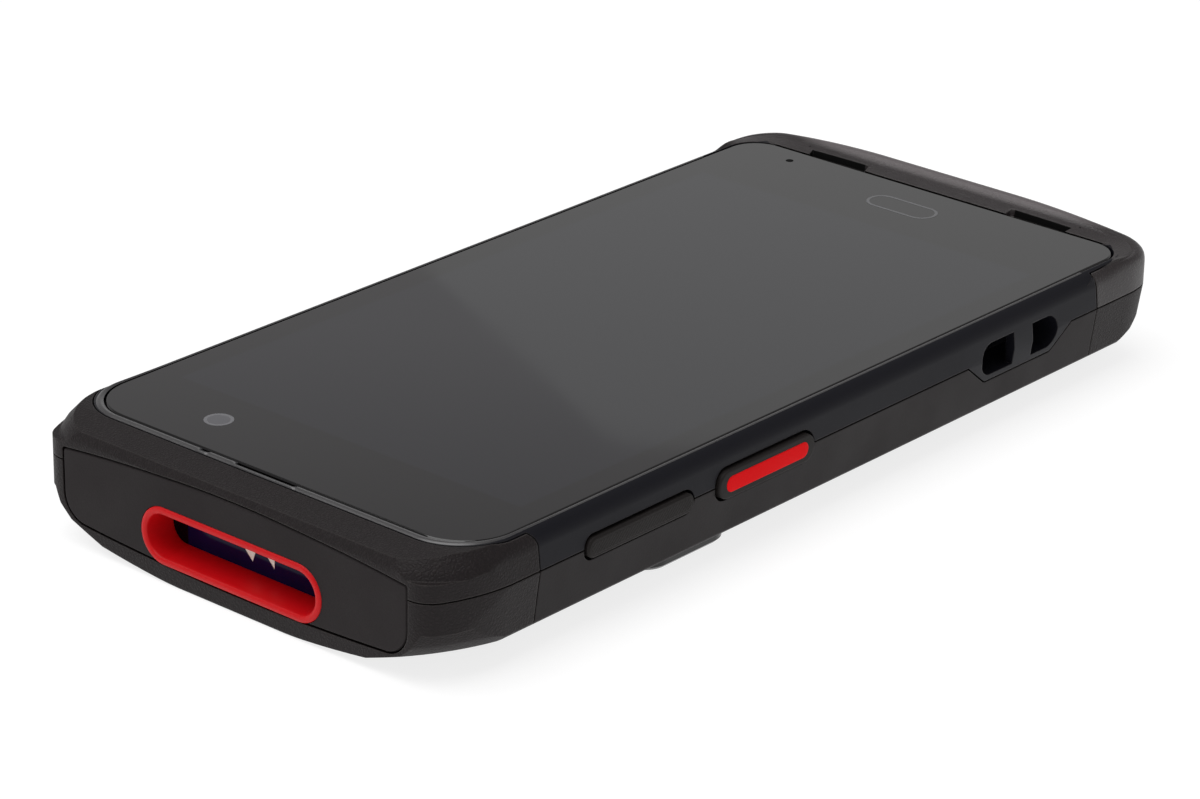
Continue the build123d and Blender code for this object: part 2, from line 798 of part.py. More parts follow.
# ---- internal cavity -------------------------------------------------------------------------
def cavity_form():
    """Hollow of the two housings, from the floor to the chassis seat."""
    low = lower_form(wall, seam_height)
    mid = prism(body_outline(frame_wall), seam_height - fit_gap, chassis_top)
    cavity = low + mid
    cavity -= block(-far, far, nose_wall_inner, far + half_l, -far, far)
    return cavity


def panel_outline(grow=0.0):
    """XZ outline of the scan end panel, grown by grow."""
    w = panel_half + grow
    drop = panel_half ** 2 / (2 * panel_crown_radius)
    top = panel_top + grow
    base = panel_base - grow
    base_rise = panel_half ** 2 / (2 * crown_radius) * panel_base_share
    with BuildSketch() as sketch:
        with BuildLine():
            ThreePointArc((-w, top - drop), (0, top), (w, top - drop))
            Line((w, top - drop), (w, base + base_rise))
            ThreePointArc((w, base + base_rise), (0, base), (-w, base + base_rise))
            Line((-w, base + base_rise), (-w, top - drop))
        make_face()
        fillet(sketch.vertices().group_by(Axis.Y)[0], panel_side_foot + grow)
        fillet([v for v in sketch.vertices() if v.Y > top - drop - 0.1], panel_top_radius)
    return sketch.sketch


def panel_recess(grow):
    """Recess in the end guards for the panel."""
    sketch = Plane.XZ * panel_outline(grow)
    return extrude(Pos(0, half_l + past, 0) * sketch, panel_thickness + past)


def ring_bore(grow):
    """Bore for the window ring and the scan window through the end wall."""
    return end_stadium(ring_length + 2 * grow, ring_height + 2 * grow, 0, ring_z,
                       nose_wall_inner - 1, half_l + past)


# ---- outer pieces --------------------------------------------------------------------------
def scan_region(joint):
    """Everything past the scan end guard's joint, whose upper corner is rounded off."""
    low = seam_height - far
    corners = [(joint, low), (joint, glass_top), (half_l + far, glass_top), (half_l + far, low)]
    outline = make_face(Polyline(*(corners + corners[:1])))
    upper = [v for v in outline.vertices() if v.X < joint + 0.01 and v.Y > glass_top - 0.01]
    return along_x(fillet(upper, joint_radius))


def base_region(joint):
    """Everything past the base end guard's joint."""
    return block(-far, far, -joint, -half_l - far, -far, far)


def bezel_prism(grow):
    """Rim round the glass that the guards end against."""
    outline = rounded(2 * (half_w - bezel_inset + grow), bezel_base_inset - half_l - grow,
                      bezel_end + grow, bezel_base_radius + grow, bezel_radius + grow)
    return prism(outline, seam_height - 1, lip_top + past)


def screw_places():
    """Plan positions of the four housing screws."""
    return [(side * screw_x, y) for side in (1, -1) for y in (screw_scan_y, screw_base_y)]


def speaker_slots():
    """Sound slots in the lip's inner face and the ducts under them."""
    cut = Part()
    back = glass_base_end - slot_depth
    z = lip_top - slot_drop
    half = slot_length / 2 - slot_height
    for side in (1, -1):
        x = side * slot_x
        cut += end_stadium(slot_length, slot_height, x, z, back, glass_base_end + 1)
        cut += block(x - half, x + half, back, back + duct_width, chassis_bottom - fit_gap, z)
    return cut


def earpiece_slot():
    """Sound slot between the glass and the rim, its sensor notch and the duct to the receiver."""
    edge = glass_scan_end + glass_gap
    inner = edge - fit_gap
    top = glass_top + 1
    slot = block(ear_left, ear_right, inner, edge + ear_width, glass_seat, top)
    notch = block(notch_left, notch_right, inner, edge + notch_width, glass_seat, top)
    duct = block(ear_left + 1, ear_right - 1, edge - duct_width, edge + ear_width - fit_gap,
                 chassis_bottom - fit_gap, glass_seat + fit_gap)
    return slot + notch + duct


def door_prism(grow):
    """Plan of the battery door, grown by grow, pulled through the floor."""
    outline = rounded(2 * (door_half + grow), door_base_end - grow, door_scan_end + grow,
                      door_radius + grow, door_radius + grow)
    return prism(outline, -1, battery_floor + past)


def plate_prism(grow, low, high):
    """Rounded plan of the rear camera plate, pulled from low to high."""
    outline = rounded(plate_width + 2 * grow, plate_high - plate_length - grow, plate_high + grow,
                      plate_radius + grow, plate_radius + grow)
    return prism(Pos(rear_camera_x, 0) * outline, low, high)


def camera_block(grow, low, high):
    """Square plan of the rear camera module, grown by grow, pulled from low to high."""
    half = rear_module_half + grow
    return block(rear_camera_x - half, rear_camera_x + half, rear_lens_y - half, rear_lens_y + half,
                 low, high)


def latch_opening():
    """Slot in the floor that the latch pad slides in."""
    half = latch_width / 2 + latch_side_gap
    return block(-half, half, latch_y - latch_side_gap,
                 latch_y + latch_pad_length + latch_travel + latch_side_gap, -1, wall + 1)


def contact_places():
    """X of each charging contact."""
    return [contact_end - contact_pitch * i for i in range(contact_count)]


def contact_block(x, grow, y0, y1):
    """Rectangular charging contact at x, grown by grow."""
    half = contact_width / 2 + grow
    half_z = contact_height / 2 + grow
    return block(x - half, x + half, y0, y1, usb_z - half_z, usb_z + half_z)


def base_openings():
    """Holes of the base end wall: port, charging contacts and microphone."""
    outside = -half_l - past
    inside = -half_l + wall + base_foot_inset + 1
    cut = end_stadium(usb_width + 2 * port_gap, usb_height + 2 * port_gap, 0, usb_z, outside, inside)
    for x in contact_places():
        cut += contact_block(x, fit_gap, outside, inside)
    return cut + end_rod(mic_x, usb_z, mic_radius, outside, inside)


def make_outer_pieces():
    """Front frame, rear housing and the four end guards, cut from the two outer forms."""
    upper = upper_form()
    lower = lower_form()
    liner_gap = skin + fit_gap
    inner_lower = lower_form(liner_gap, seam_height)
    cavity = cavity_form()
    tongue = tongue_block()
    recess = panel_recess(seam_gap)

    scan_end = scan_region(scan_joint)
    base_end = base_region(base_joint)
    scan_room = scan_region(scan_joint - seam_gap)
    base_room = base_region(base_joint - seam_gap)
    inner_upper = frame_form(liner_gap)
    seam = prism(body_outline(-1), seam_height, seam_height + seam_gap)

    hidden = bezel_prism(seam_gap) + inner_upper + cavity + seam + recess
    scan_guard = (upper & scan_end) - hidden
    base_guard = (upper & base_end) - hidden

    liner = (inner_upper + bezel_prism(0.0)) & upper
    frame = upper - scan_room - base_room
    frame += (liner & scan_room) + (liner & base_room)
    frame += tongue & (lower + upper)
    frame = frame - (cavity - tongue) - recess - strap_pocket() - (seam - tongue)
    frame -= prism(glass_outline(glass_gap), tape_seat, lip_top + past)
    frame -= display_prism(display_gap, chassis_top - 1, glass_top)
    frame = frame - speaker_slots() - earpiece_slot()
    frame -= rod(camera_x, camera_y, camera_radius + camera_play, chassis_top - 1, glass_top)

    bosses = Part()
    for x, y in screw_places():
        bosses += rod(x, y, boss_radius, 0, seam_height)
    rear = lower - scan_room - base_room
    rear += (inner_lower & scan_room) + (inner_lower & base_room)
    rear = rear - cavity + (bosses & inner_lower)
    rear = rear - tongue_block(seam_gap) - recess - ring_bore(fit_gap)
    rear = rear - door_prism(seam_gap) - plate_prism(fit_gap, -1, plate_back) - latch_opening()
    rear -= camera_block(module_gap, plate_back - module_gap, plate_back + rear_module_height)
    rear -= base_openings()

    shell = lower - lower_form(skin, seam_height + 1)
    rear_scan_guard = (shell & scan_end) - recess
    rear_base_guard = (shell & base_end) - base_openings()
    for x, y in screw_places():
        counterbore = rod(x, y, screw_head_radius + screw_head_gap, -1, screw_seat)
        rear = rear - counterbore - rod(x, y, screw_radius + fit_gap, 0, seam_height + 1)
        rear_scan_guard -= counterbore
        rear_base_guard -= counterbore
    for key in KEYS.values():
        frame = frame - key_opening(*key) - key_room(*key)
        rear = rear - key_opening(*key) - key_room(*key)
    return {"front_frame": frame, "rear_housing": rear,
            "scan_end_guard": scan_guard, "base_end_guard": base_guard,
            "rear_scan_guard": rear_scan_guard, "rear_base_guard": rear_base_guard}


def make_panel():
    """Flat panel of the scan end, with the hole for the window ring."""
    sketch = Plane.XZ * panel_outline()
    panel = extrude(Pos(0, half_l, 0) * sketch, panel_thickness)
    front = panel.faces().sort_by(Axis.Y)[-1]
    panel = chamfer(front.edges(), panel_edge_break)
    return panel - ring_bore(fit_gap)


def make_ring():
    """Funnel ring round the scan window."""
    front = half_l + ring_proud
    back = half_l - ring_depth
    ring = end_stadium(ring_length, ring_height, 0, ring_z, back, front)
    ring = chamfer(ring.faces().sort_by(Axis.Y)[-1].edges(), ring_edge_break)
    mouth = Plane.XZ * Pos(0, ring_z) * SlotOverall(ring_length - 2 * ring_rim,
                                                    ring_height - 2 * ring_rim)
    taper = math.degrees(math.atan2(ring_draft, front - back))
    return ring - extrude(Pos(0, front, 0) * mouth, front - back, taper=taper)


def make_window():
    """Clear window behind the ring."""
    return end_stadium(ring_length - 2 * window_rim, ring_height - 2 * window_rim, 0, ring_z,
                       window_back, window_back + window_thickness)


# ---- display stack --------------------------------------------------------------------------
def display_prism(grow, low, high):
    """Plan of the display module, grown by grow, pulled from low to high."""
    half_x = picture_half + display_side_rim + grow
    return block(-half_x, half_x, picture_base_end - display_base_rim - grow,
                 picture_scan_end + display_scan_rim + grow, low, high)


def make_glass():
    """Cover glass with its ground edge."""
    glass = prism(glass_outline(), glass_seat, glass_top)
    return chamfer(glass.faces().sort_by(Axis.Z)[-1].edges(), glass_chamfer)


def make_tape():
    """Black tape that bonds the glass and masks its border, open over the picture."""
    low = tape_seat - 1
    high = glass_seat + 1
    tape = prism(glass_outline(-tape_inset), tape_seat, glass_seat)
    tape -= block(-picture_half, picture_half, picture_base_end, picture_scan_end, low, high)
    return tape - rod(camera_x, camera_y, camera_radius, low, high)


def make_chassis():
    """Cast plate that carries the display and the board."""
    low = chassis_bottom - 1
    high = chassis_top + 1
    plate = prism(body_outline(frame_wall + chassis_gap), chassis_bottom, chassis_top)
    plate -= block(-far, far, nose_wall_inner - chassis_gap, far + half_l, -far, far)
    plate = plate - tongue_block(chassis_gap) - speaker_slots() - earpiece_slot()
    plate -= rod(camera_x, camera_y, camera_radius + 2 * camera_play, low, high)
    for key in KEYS.values():
        plate -= key_room(*key)
    for x, y in screw_places():
        plate -= rod(x, y, screw_radius + fit_gap, low, high)
    return plate


def make_front_camera():
    """Front camera barrel on its socket."""
    barrel = rod(camera_x, camera_y, camera_radius, board_top, tape_seat)
    half = camera_socket_half
    top = chassis_bottom - mounting_gap
    socket = block(camera_x - half, camera_x + half, camera_y - half, camera_y + half,
                   top - camera_socket_depth, top)
    return barrel + socket


# ---- scan engine -------------------------------------------------------------------------------
def lamp_block(x, shrink, y0, y1):
    """One of the engine's two lamp openings, made smaller by shrink."""
    half = lamp_half - shrink
    half_z = lamp_half_height - shrink
    return block(x - half, x + half, y0, y1, ring_z - half_z, ring_z + half_z)


def make_engine():
    """Scan engine: body with a lens bore and two lamp openings in its face."""
    half = engine_width / 2
    low = ring_z - engine_height / 2
    mouth = engine_front + 1
    body = block(-half, half, engine_front - engine_length, engine_front, low, low + engine_height)
    body = fillet(body.edges().filter_by(Axis.Y), engine_edge_radius)
    body -= end_rod(lens_x, ring_z, lens_radius, engine_front - lens_recess, mouth)
    for x in (lamp_x, -lamp_x):
        body -= lamp_block(x, 0.0, engine_front - lens_recess, mouth)
    return body


def make_engine_optics():
    """Lens barrel and the two lamp covers in the engine's openings."""
    back = engine_front - lens_recess
    front = engine_front - lens_set_back
    optics = end_rod(lens_x, ring_z, lens_radius - fit_gap, back, front)
    optics -= end_rod(lens_x, ring_z, lens_radius - lens_rim, (back + front) / 2, front + 1)
    for x in (lamp_x, -lamp_x):
        optics += lamp_block(x, fit_gap, back, front)
    return optics


def make_engine_bracket():
    """Plate under the scan engine with a screw ear at each side."""
    half = engine_width / 2
    back = engine_front - engine_length
    top = ring_z - engine_height / 2
    plate = block(-half, half, back, nose_wall_inner - module_gap, top - bracket_plate, top)
    ears = block(-half - bracket_ear, half + bracket_ear, back, back + bracket_ear_length,
                 top - bracket_plate, top)
    return (plate + ears) & lower_form(wall + module_gap)


# ---- boards and modules ---------------------------------------------------------------------------
def make_board():
    """Main circuit board."""
    board = block(-board_half, board_half, board_low, board_high, board_bottom, board_top)
    return fillet(board.edges().filter_by(Axis.Z).sort_by(Axis.Y)[:2], board_corner_radius)


def can_places():
    """Plan corners of the three shield cans: one at the left, two in a column at the right."""
    left = can_margin - board_half
    right = board_half - can_margin
    low = board_low + can_margin
    middle = can_gap / 2
    upper = low + right_can_length + upper_can_gap
    return [(left, -middle, low, low + left_can_length),
            (middle, right, low, low + right_can_length),
            (middle, right - upper_can_trim, upper, upper + upper_can_length)]


def make_shields():
    """Shield cans on the underside of the board."""
    cans = Part()
    for x0, x1, y0, y1 in can_places():
        can = block(x0, x1, y0, y1, board_bottom - can_height, board_bottom)
        cans += fillet(can.edges().filter_by(Axis.Z), can_corner_radius)
    return cans


def chip(x, y, size):
    """Bare chip under the board with its lower left corner at x, y."""
    return block(x, x + size, y, y + size, board_bottom - chip_height, board_bottom)


def make_chips():
    """Bare chips: a row past the left can and a column beside the upper right one."""
    left_can, lower_can, upper_can = can_places()
    chips = Part()
    x = left_can[0] + chip_gap
    for size in chip_sizes:
        chips += chip(x, left_can[3] + chip_gap, size)
        x += size + chip_gap
    y = lower_can[3] + chip_gap
    for size in edge_chip_sizes:
        chips += chip(upper_can[1] + chip_gap / 2, y, size)
        y += size + chip_gap
    return chips


def make_battery():
    """Battery pack."""
    half = door_half - battery_inset
    pack = block(-half, half, door_base_end + battery_base_inset, door_scan_end - battery_scan_inset,
                 battery_floor, battery_floor + battery_thickness)
    return fillet(pack.edges().filter_by(Axis.Y), battery_edge_radius)


def make_battery_contacts():
    """Spring contact block between the battery and the board."""
    front = door_scan_end - battery_scan_inset + terminal_gap
    low = battery_floor + terminal_lift
    body = block(-terminal_half, terminal_half, front, board_low + terminal_reach,
                 low, board_bottom)
    foot = low + terminal_slot_foot
    for i in range(terminal_count):
        x = terminal_pitch * (i - (terminal_count - 1) / 2)
        body -= block(x - terminal_slot / 2, x + terminal_slot / 2, front - 1, front + 1,
                      foot, foot + terminal_slot_height)
    return body


def make_door():
    """Battery door: a panel of the crowned underside."""
    shell = lower_form(0.0) - lower_form(door_thickness, seam_height + 1)
    return shell & door_prism(0.0)


def make_latch():
    """Door latch: ribbed pad in the floor slot and the plate behind it whose edge holds the door."""
    low = wall + latch_gap
    half = latch_width / 2
    pad = block(-half, half, latch_y, latch_y + latch_pad_length, latch_inset, low + fit_gap)
    groove_half = half - latch_groove_inset
    for share in (0.25, 0.5, 0.75):
        y = latch_y + latch_pad_length * share
        pad -= block(-groove_half, groove_half, y - latch_groove / 2, y + latch_groove / 2,
                     0, latch_inset + latch_groove_depth)
    plate = block(-half - latch_flange, half + latch_flange, door_scan_end - latch_hold,
                  latch_y + latch_pad_length + latch_travel + 1, low, low + latch_plate_thickness)
    return pad + plate


def make_camera_plate():
    """Glossy plate over the rear camera and the flash."""
    plate = plate_prism(0.0, plate_face, plate_back)
    plate = chamfer(plate.faces().sort_by(Axis.Z)[0].edges(), plate_edge_break)
    for y, radius in ((rear_lens_y, rear_lens_radius), (flash_y, flash_radius)):
        plate -= rod(rear_camera_x, y, radius + fit_gap, 0, plate_face + rear_cover_depth)
    return plate


def make_rear_cover(y, radius):
    """Round cover in the camera plate."""
    return rod(rear_camera_x, y, radius, plate_face + rear_lens_recess,
               plate_face + rear_cover_depth)


def make_base_board():
    """Small board at the base end that carries the port."""
    half = half_w - base_board_side_inset
    low = -half_l + wall + base_board_end_gap
    return block(-half, half, low, low + base_board_length,
                 base_board_bottom, base_board_bottom + base_board_thickness)


def make_usb():
    """Port shell with its contact tongue."""
    front = -half_l + wall
    back = front + usb_depth
    outer = end_stadium(usb_width, usb_height, 0, usb_z, front, back)
    inner = end_stadium(usb_width - 2 * usb_shell, usb_height - 2 * usb_shell, 0, usb_z,
                        front - 1, back - 1)
    half = usb_tongue_thickness / 2
    tongue = block(-usb_tongue_half, usb_tongue_half, front + usb_tongue_recess, back - fit_gap,
                   usb_z - half, usb_z + half)
    return outer - inner + tongue


def make_contacts():
    """Charging contacts of the base end."""
    front = -half_l + contact_inset
    pads = Part()
    for x in contact_places():
        pads += contact_block(x, 0.0, front, front + contact_depth)
    return pads


def make_speakers():
    """Two speakers behind the base end slots."""
    half = speaker_width / 2
    low_y = -half_l + speaker_end_inset
    pair = Part()
    for x in (slot_x, -slot_x):
        box = block(x - half, x + half, low_y, low_y + speaker_length,
                    base_board_bottom + base_board_thickness, chassis_bottom - mounting_gap)
        pair += fillet(box.edges().filter_by(Axis.Z), speaker_radius)
    return pair


def make_speaker_mesh():
    """Mesh strips at the back of the two sound slots."""
    back = glass_base_end - slot_depth + fit_gap
    mesh = Part()
    for x in (slot_x, -slot_x):
        mesh += end_stadium(slot_length - 2 * fit_gap, slot_height - 2 * fit_gap, x,
                            lip_top - slot_drop, back, back + mesh_thickness)
    return mesh


def make_earpiece_mesh():
    """Mesh strip in the earpiece slot."""
    edge = glass_scan_end + glass_gap
    low = glass_seat + fit_gap
    return block(ear_left + fit_gap, ear_right - fit_gap, edge + fit_gap,
                 edge + ear_width - fit_gap, low, low + mesh_thickness)


def make_earpiece():
    """Earpiece receiver under the chassis."""
    top = chassis_bottom - mounting_gap
    middle = (ear_left + ear_right) / 2
    high = half_l - receiver_end_inset
    box = block(middle - receiver_half, middle + receiver_half, high - receiver_length, high,
                top - receiver_height, top)
    return fillet(box.edges().filter_by(Axis.Z), receiver_radius)


def make_motor():
    """Vibration motor under the chassis."""
    top = chassis_bottom - mounting_gap
    return rod(motor_x, motor_y, motor_radius, top - motor_height, top)


def make_seal():
    """Gasket in the parting line."""
    ring = prism(body_outline(seal_outer), seam_height, seam_height + seam_gap)
    ring -= prism(body_outline(seal_inner), seam_height - 1, seam_height + 1)
    ring = ring - tongue_block(2 * fit_gap + seam_gap) - panel_recess(seam_gap)
    for key in KEYS.values():
        ring -= key_opening(*key)
    return ring


def make_screws():
    """Four housing screws with a hexagon socket."""
    foot = screw_seat - screw_head_height
    screws = Part()
    for x, y in screw_places():
        screw = rod(x, y, screw_head_radius, foot, screw_seat)
        screw += rod(x, y, screw_radius, screw_seat, chassis_top - screw_end_gap)
        hexagon = RegularPolygon(screw_socket_radius, 6)
        screws += screw - Pos(x, y, foot) * extrude(hexagon, screw_socket_depth)
    return screws


def make_nodes():
    """All pieces by node name."""
    nodes = make_outer_pieces()
    nodes["end_panel"] = make_panel()
    nodes["window_ring"] = make_ring()
    nodes["scan_window"] = make_window()
    nodes["cover_glass"] = make_glass()
    nodes["glass_tape"] = make_tape()
    nodes["display_module"] = display_prism(0.0, chassis_top, tape_seat)
    nodes["mid_chassis"] = make_chassis()
    nodes["front_camera"] = make_front_camera()
    nodes["scan_engine"] = make_engine()
    nodes["scan_engine_optics"] = make_engine_optics()
    nodes["engine_bracket"] = make_engine_bracket()
    nodes["main_board"] = make_board()
    nodes["board_shields"] = make_shields()
    nodes["board_chips"] = make_chips()
    nodes["battery_pack"] = make_battery()
    nodes["battery_contacts"] = make_battery_contacts()
    nodes["battery_door"] = make_door()
    nodes["door_latch"] = make_latch()
    nodes["camera_plate"] = make_camera_plate()
    nodes["rear_camera_lens"] = make_rear_cover(rear_lens_y, rear_lens_radius)
    nodes["flash_lens"] = make_rear_cover(flash_y, flash_radius)
    nodes["rear_camera_module"] = camera_block(0.0, plate_back + fit_gap,
                                               plate_back + rear_module_height)
    nodes["base_board"] = make_base_board()
    nodes["usb_port"] = make_usb()
    nodes["charging_contacts"] = make_contacts()
    nodes["speakers"] = make_speakers()
    nodes["speaker_mesh"] = make_speaker_mesh()
    nodes["earpiece_mesh"] = make_earpiece_mesh()
    nodes["earpiece"] = make_earpiece()
    nodes["vibration_motor"] = make_motor()
    nodes["housing_seal"] = make_seal()
    nodes["housing_screws"] = make_screws()
    nodes["key_switches"] = make_switches()
    for side, word in ((-1, "left"), (1, "right")):
        nodes[f"{word}_key_flex"] = make_flex(side)
        nodes[f"{word}_key_bracket"] = make_key_bracket(side)
        nodes[f"{word}_key_stripe"] = stripe_form(side, stripe_proud)
    for name, key in KEYS.items():
        cap = make_key(*key)
        if "scan" in name:
            cap -= stripe_form(key[0], past)
        nodes[name] = cap
    return nodes


if __name__ == "__main__":
    os.makedirs("parts", exist_ok=True)
    for name, shape in make_nodes().items():
        export_step(shape, f"parts/{name}.step")
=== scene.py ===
"""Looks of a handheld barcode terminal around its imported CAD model.

The model's own frame: +Z out of the screen, +Y towards the scan window, +X to the right of a person
who reads the screen, and the floor at the resting face. Sizes and places are in mm here, and MM turns
them to Blender's metres where they go into a mesh, a material or the camera.
"""
import json
import math
import bmesh
import bpy
import numpy as np
from mathutils import Matrix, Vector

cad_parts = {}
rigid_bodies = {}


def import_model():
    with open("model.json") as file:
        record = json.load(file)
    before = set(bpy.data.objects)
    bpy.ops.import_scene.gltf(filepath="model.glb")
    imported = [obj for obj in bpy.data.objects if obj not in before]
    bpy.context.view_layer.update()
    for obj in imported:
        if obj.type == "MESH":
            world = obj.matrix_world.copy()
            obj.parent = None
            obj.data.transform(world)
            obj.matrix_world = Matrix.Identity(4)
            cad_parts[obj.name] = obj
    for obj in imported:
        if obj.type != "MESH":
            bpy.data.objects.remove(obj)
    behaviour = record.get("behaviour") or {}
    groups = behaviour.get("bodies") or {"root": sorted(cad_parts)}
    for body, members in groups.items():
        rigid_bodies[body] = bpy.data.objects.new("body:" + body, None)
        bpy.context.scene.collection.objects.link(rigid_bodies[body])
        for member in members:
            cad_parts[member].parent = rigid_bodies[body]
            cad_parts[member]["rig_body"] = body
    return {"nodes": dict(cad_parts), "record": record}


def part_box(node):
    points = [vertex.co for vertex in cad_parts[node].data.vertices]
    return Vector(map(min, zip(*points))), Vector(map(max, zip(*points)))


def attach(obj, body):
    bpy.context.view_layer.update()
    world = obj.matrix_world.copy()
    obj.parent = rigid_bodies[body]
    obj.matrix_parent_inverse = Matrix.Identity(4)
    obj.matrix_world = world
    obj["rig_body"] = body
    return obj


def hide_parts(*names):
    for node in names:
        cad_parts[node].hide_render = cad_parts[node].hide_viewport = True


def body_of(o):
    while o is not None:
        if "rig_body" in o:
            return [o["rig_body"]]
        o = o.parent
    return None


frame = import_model()
NODES = frame["nodes"]
SLOTS = {part["node"]: part["material_slot"] for part in frame["record"]["subparts"]}
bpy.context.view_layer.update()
MM = 0.001


# ---- what the frame gives -------------------------------------------------------------------
def box_mm(node):
    """Lowest and highest corner of a CAD node at rest, in mm to four places."""
    return np.round(np.array(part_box(node)) / MM, 4)


def middle_mm(node):
    """Middle of a CAD node's box at rest, in mm."""
    return box_mm(node).mean(0)


GLASS_LOW, GLASS_HIGH = box_mm("cover_glass")
GLASS_HALF = GLASS_HIGH[0]         # half its width
GLASS = GLASS_HIGH[2]              # level of its face
BODY_HALF = box_mm("rear_base_guard")[1][0]
BASE_END = -box_mm("base_end_guard")[0][1]
GUARD_FOOT = box_mm("base_end_guard")[0][2]
RING_LOW, RING_HIGH = box_mm("window_ring")
WINDOW = box_mm("scan_window")[1][1]
KEY_FACE, KEY_BACK = -box_mm("left_scan_key")[:, 0]   # from the middle plane out


# ---- camera ---------------------------------------------------------------------------------
AZIMUTH = 220.7125         # degrees, seen from the scan end and the left side
ELEVATION = 23.1953
ROLL = 0.9910
AIM = (0.0, 0.7, 17.1)     # the point that it turns about
DISTANCE = 615.94          # from that point
TRUCK = -2.853             # moves sideways and upward in the picture's plane
PEDESTAL = -10.270
SENSOR = 36.0
LENS = 131.81
CLIP = (0.01, 50.0)        # metres


def make_camera():
    """A camera on a sphere about AIM, rolled about its own axis, then moved in its picture plane."""
    azimuth, elevation, roll = (math.radians(a) for a in (AZIMUTH, ELEVATION, ROLL))
    level = math.cos(elevation)
    back = np.array([math.sin(azimuth) * level, -math.cos(azimuth) * level, math.sin(elevation)])
    right = np.array([math.cos(azimuth), math.sin(azimuth), 0.0])
    up = np.cross(back, right)
    across = math.cos(roll) * right + math.sin(roll) * up
    upward = math.cos(roll) * up - math.sin(roll) * right
    data = bpy.data.cameras.new("camera")
    data.sensor_width = SENSOR
    data.lens = LENS
    data.clip_start, data.clip_end = CLIP
    camera = bpy.data.objects.new("camera", data)
    place = np.array(AIM) + back * DISTANCE + across * TRUCK + upward * PEDESTAL
    matrix = np.eye(4)
    matrix[:3] = np.stack([across, upward, back, place * MM], -1)
    camera.matrix_world = Matrix(matrix.tolist())
    bpy.context.scene.collection.objects.link(camera)
    bpy.context.scene.camera = camera


# ---- material tools -------------------------------------------------------------------------
BLOTCH = 9.0               # width of the patches where moulded plastic changes its gloss
HANDLED = 14.0             # and of those that hands leave on a smooth face
SMEAR = 22.0               # and of those that wiping leaves on the cover glass
PICTURE_BORDER = (4.2, 17.15, 14.35)   # glass edge to picture, at the sides, base end and scan end
PICTURE_SOFT = 0.3         # over which the black print fades into the picture area


def linear(colour):
    """An sRGB hex colour as linear RGBA, by the sRGB curve."""
    values = np.array([int(colour[i:i + 2], 16) for i in (0, 2, 4)]) / 255.0
    curve = np.where(values <= 0.04045, values / 12.92, ((values + 0.055) / 1.055) ** 2.4)
    return (*curve.tolist(), 1.0)


def add(tree, kind, inputs=None, **settings):
    """Adds a node with its settings; inputs maps sockets to values or to other nodes' outputs."""
    new = tree.nodes.new(kind)
    for name, value in settings.items():
        setattr(new, name, value)
    for name, value in (inputs or {}).items():
        if isinstance(value, bpy.types.NodeSocket):
            tree.links.new(value, new.inputs[name])
        else:
            new.inputs[name].default_value = value
    return new


def blank(name):
    """A material with only its output: (material, tree, output)."""
    material = bpy.data.materials.new(name)
    material.use_nodes = True
    tree = material.node_tree
    tree.nodes.clear()
    return material, tree, add(tree, "ShaderNodeOutputMaterial")


def worn_edges(tree, rounded, colour, worn, amount):
    """Colour that goes to worn where the rounded normal leaves the surface's own, at its edges."""
    own = add(tree, "ShaderNodeNewGeometry").outputs["Normal"]
    along = add(tree, "ShaderNodeVectorMath", {0: own, 1: rounded}, operation="DOT_PRODUCT")
    edge = add(tree, "ShaderNodeMapRange", {"Value": along.outputs["Value"], "From Min": 0.97,
                                            "From Max": 0.80, "To Min": 0.0, "To Max": amount})
    mixed = add(tree, "ShaderNodeMix", {"Factor": edge.outputs["Result"], "A": colour,
                                        "B": linear(worn)}, data_type="RGBA")
    return mixed.outputs["Result"]


def moulded(name, dark, light, roughness, grain, depth, specular=0.2, edge=0.25, shine="4a4746",
            wear=0.5):
    """Injection-moulded plastic from an etched tool.

    Fine noise of the grain's size (mm) dents the surface by depth (mm) and shifts its colour between
    dark and light; a slow noise of BLOTCH mm changes the gloss. Edges are rounded over edge mm and
    polished towards the shine colour by handling."""
    material, tree, output = blank(name)
    place = add(tree, "ShaderNodeTexCoord").outputs["Object"]
    fine = add(tree, "ShaderNodeTexNoise", {"Vector": place, "Scale": 1 / (grain * MM),
                                            "Detail": 3.0, "Roughness": 0.6})
    slow = add(tree, "ShaderNodeTexNoise", {"Vector": place, "Scale": 1 / (BLOTCH * MM),
                                            "Detail": 2.0, "Roughness": 0.5})
    colour = add(tree, "ShaderNodeMix", {"Factor": fine.outputs["Fac"], "A": linear(dark),
                                         "B": linear(light)}, data_type="RGBA")
    gloss = add(tree, "ShaderNodeMapRange",
                {"Value": slow.outputs["Fac"], "From Min": 0.3, "From Max": 0.7,
                 "To Min": roughness - 0.04, "To Max": roughness + 0.04})
    rounded = add(tree, "ShaderNodeBevel", {"Radius": edge * MM}, samples=6).outputs["Normal"]
    bump = add(tree, "ShaderNodeBump", {"Height": fine.outputs["Fac"], "Distance": depth * MM,
                                        "Strength": 1.0, "Normal": rounded})
    shader = add(tree, "ShaderNodeBsdfPrincipled",
                 {"Base Color": worn_edges(tree, rounded, colour.outputs["Result"], shine, wear),
                  "Roughness": gloss.outputs["Result"], "IOR": 1.5, "Specular IOR Level": specular,
                  "Normal": bump.outputs["Normal"]})
    tree.links.new(shader.outputs["BSDF"], output.inputs["Surface"])
    return material


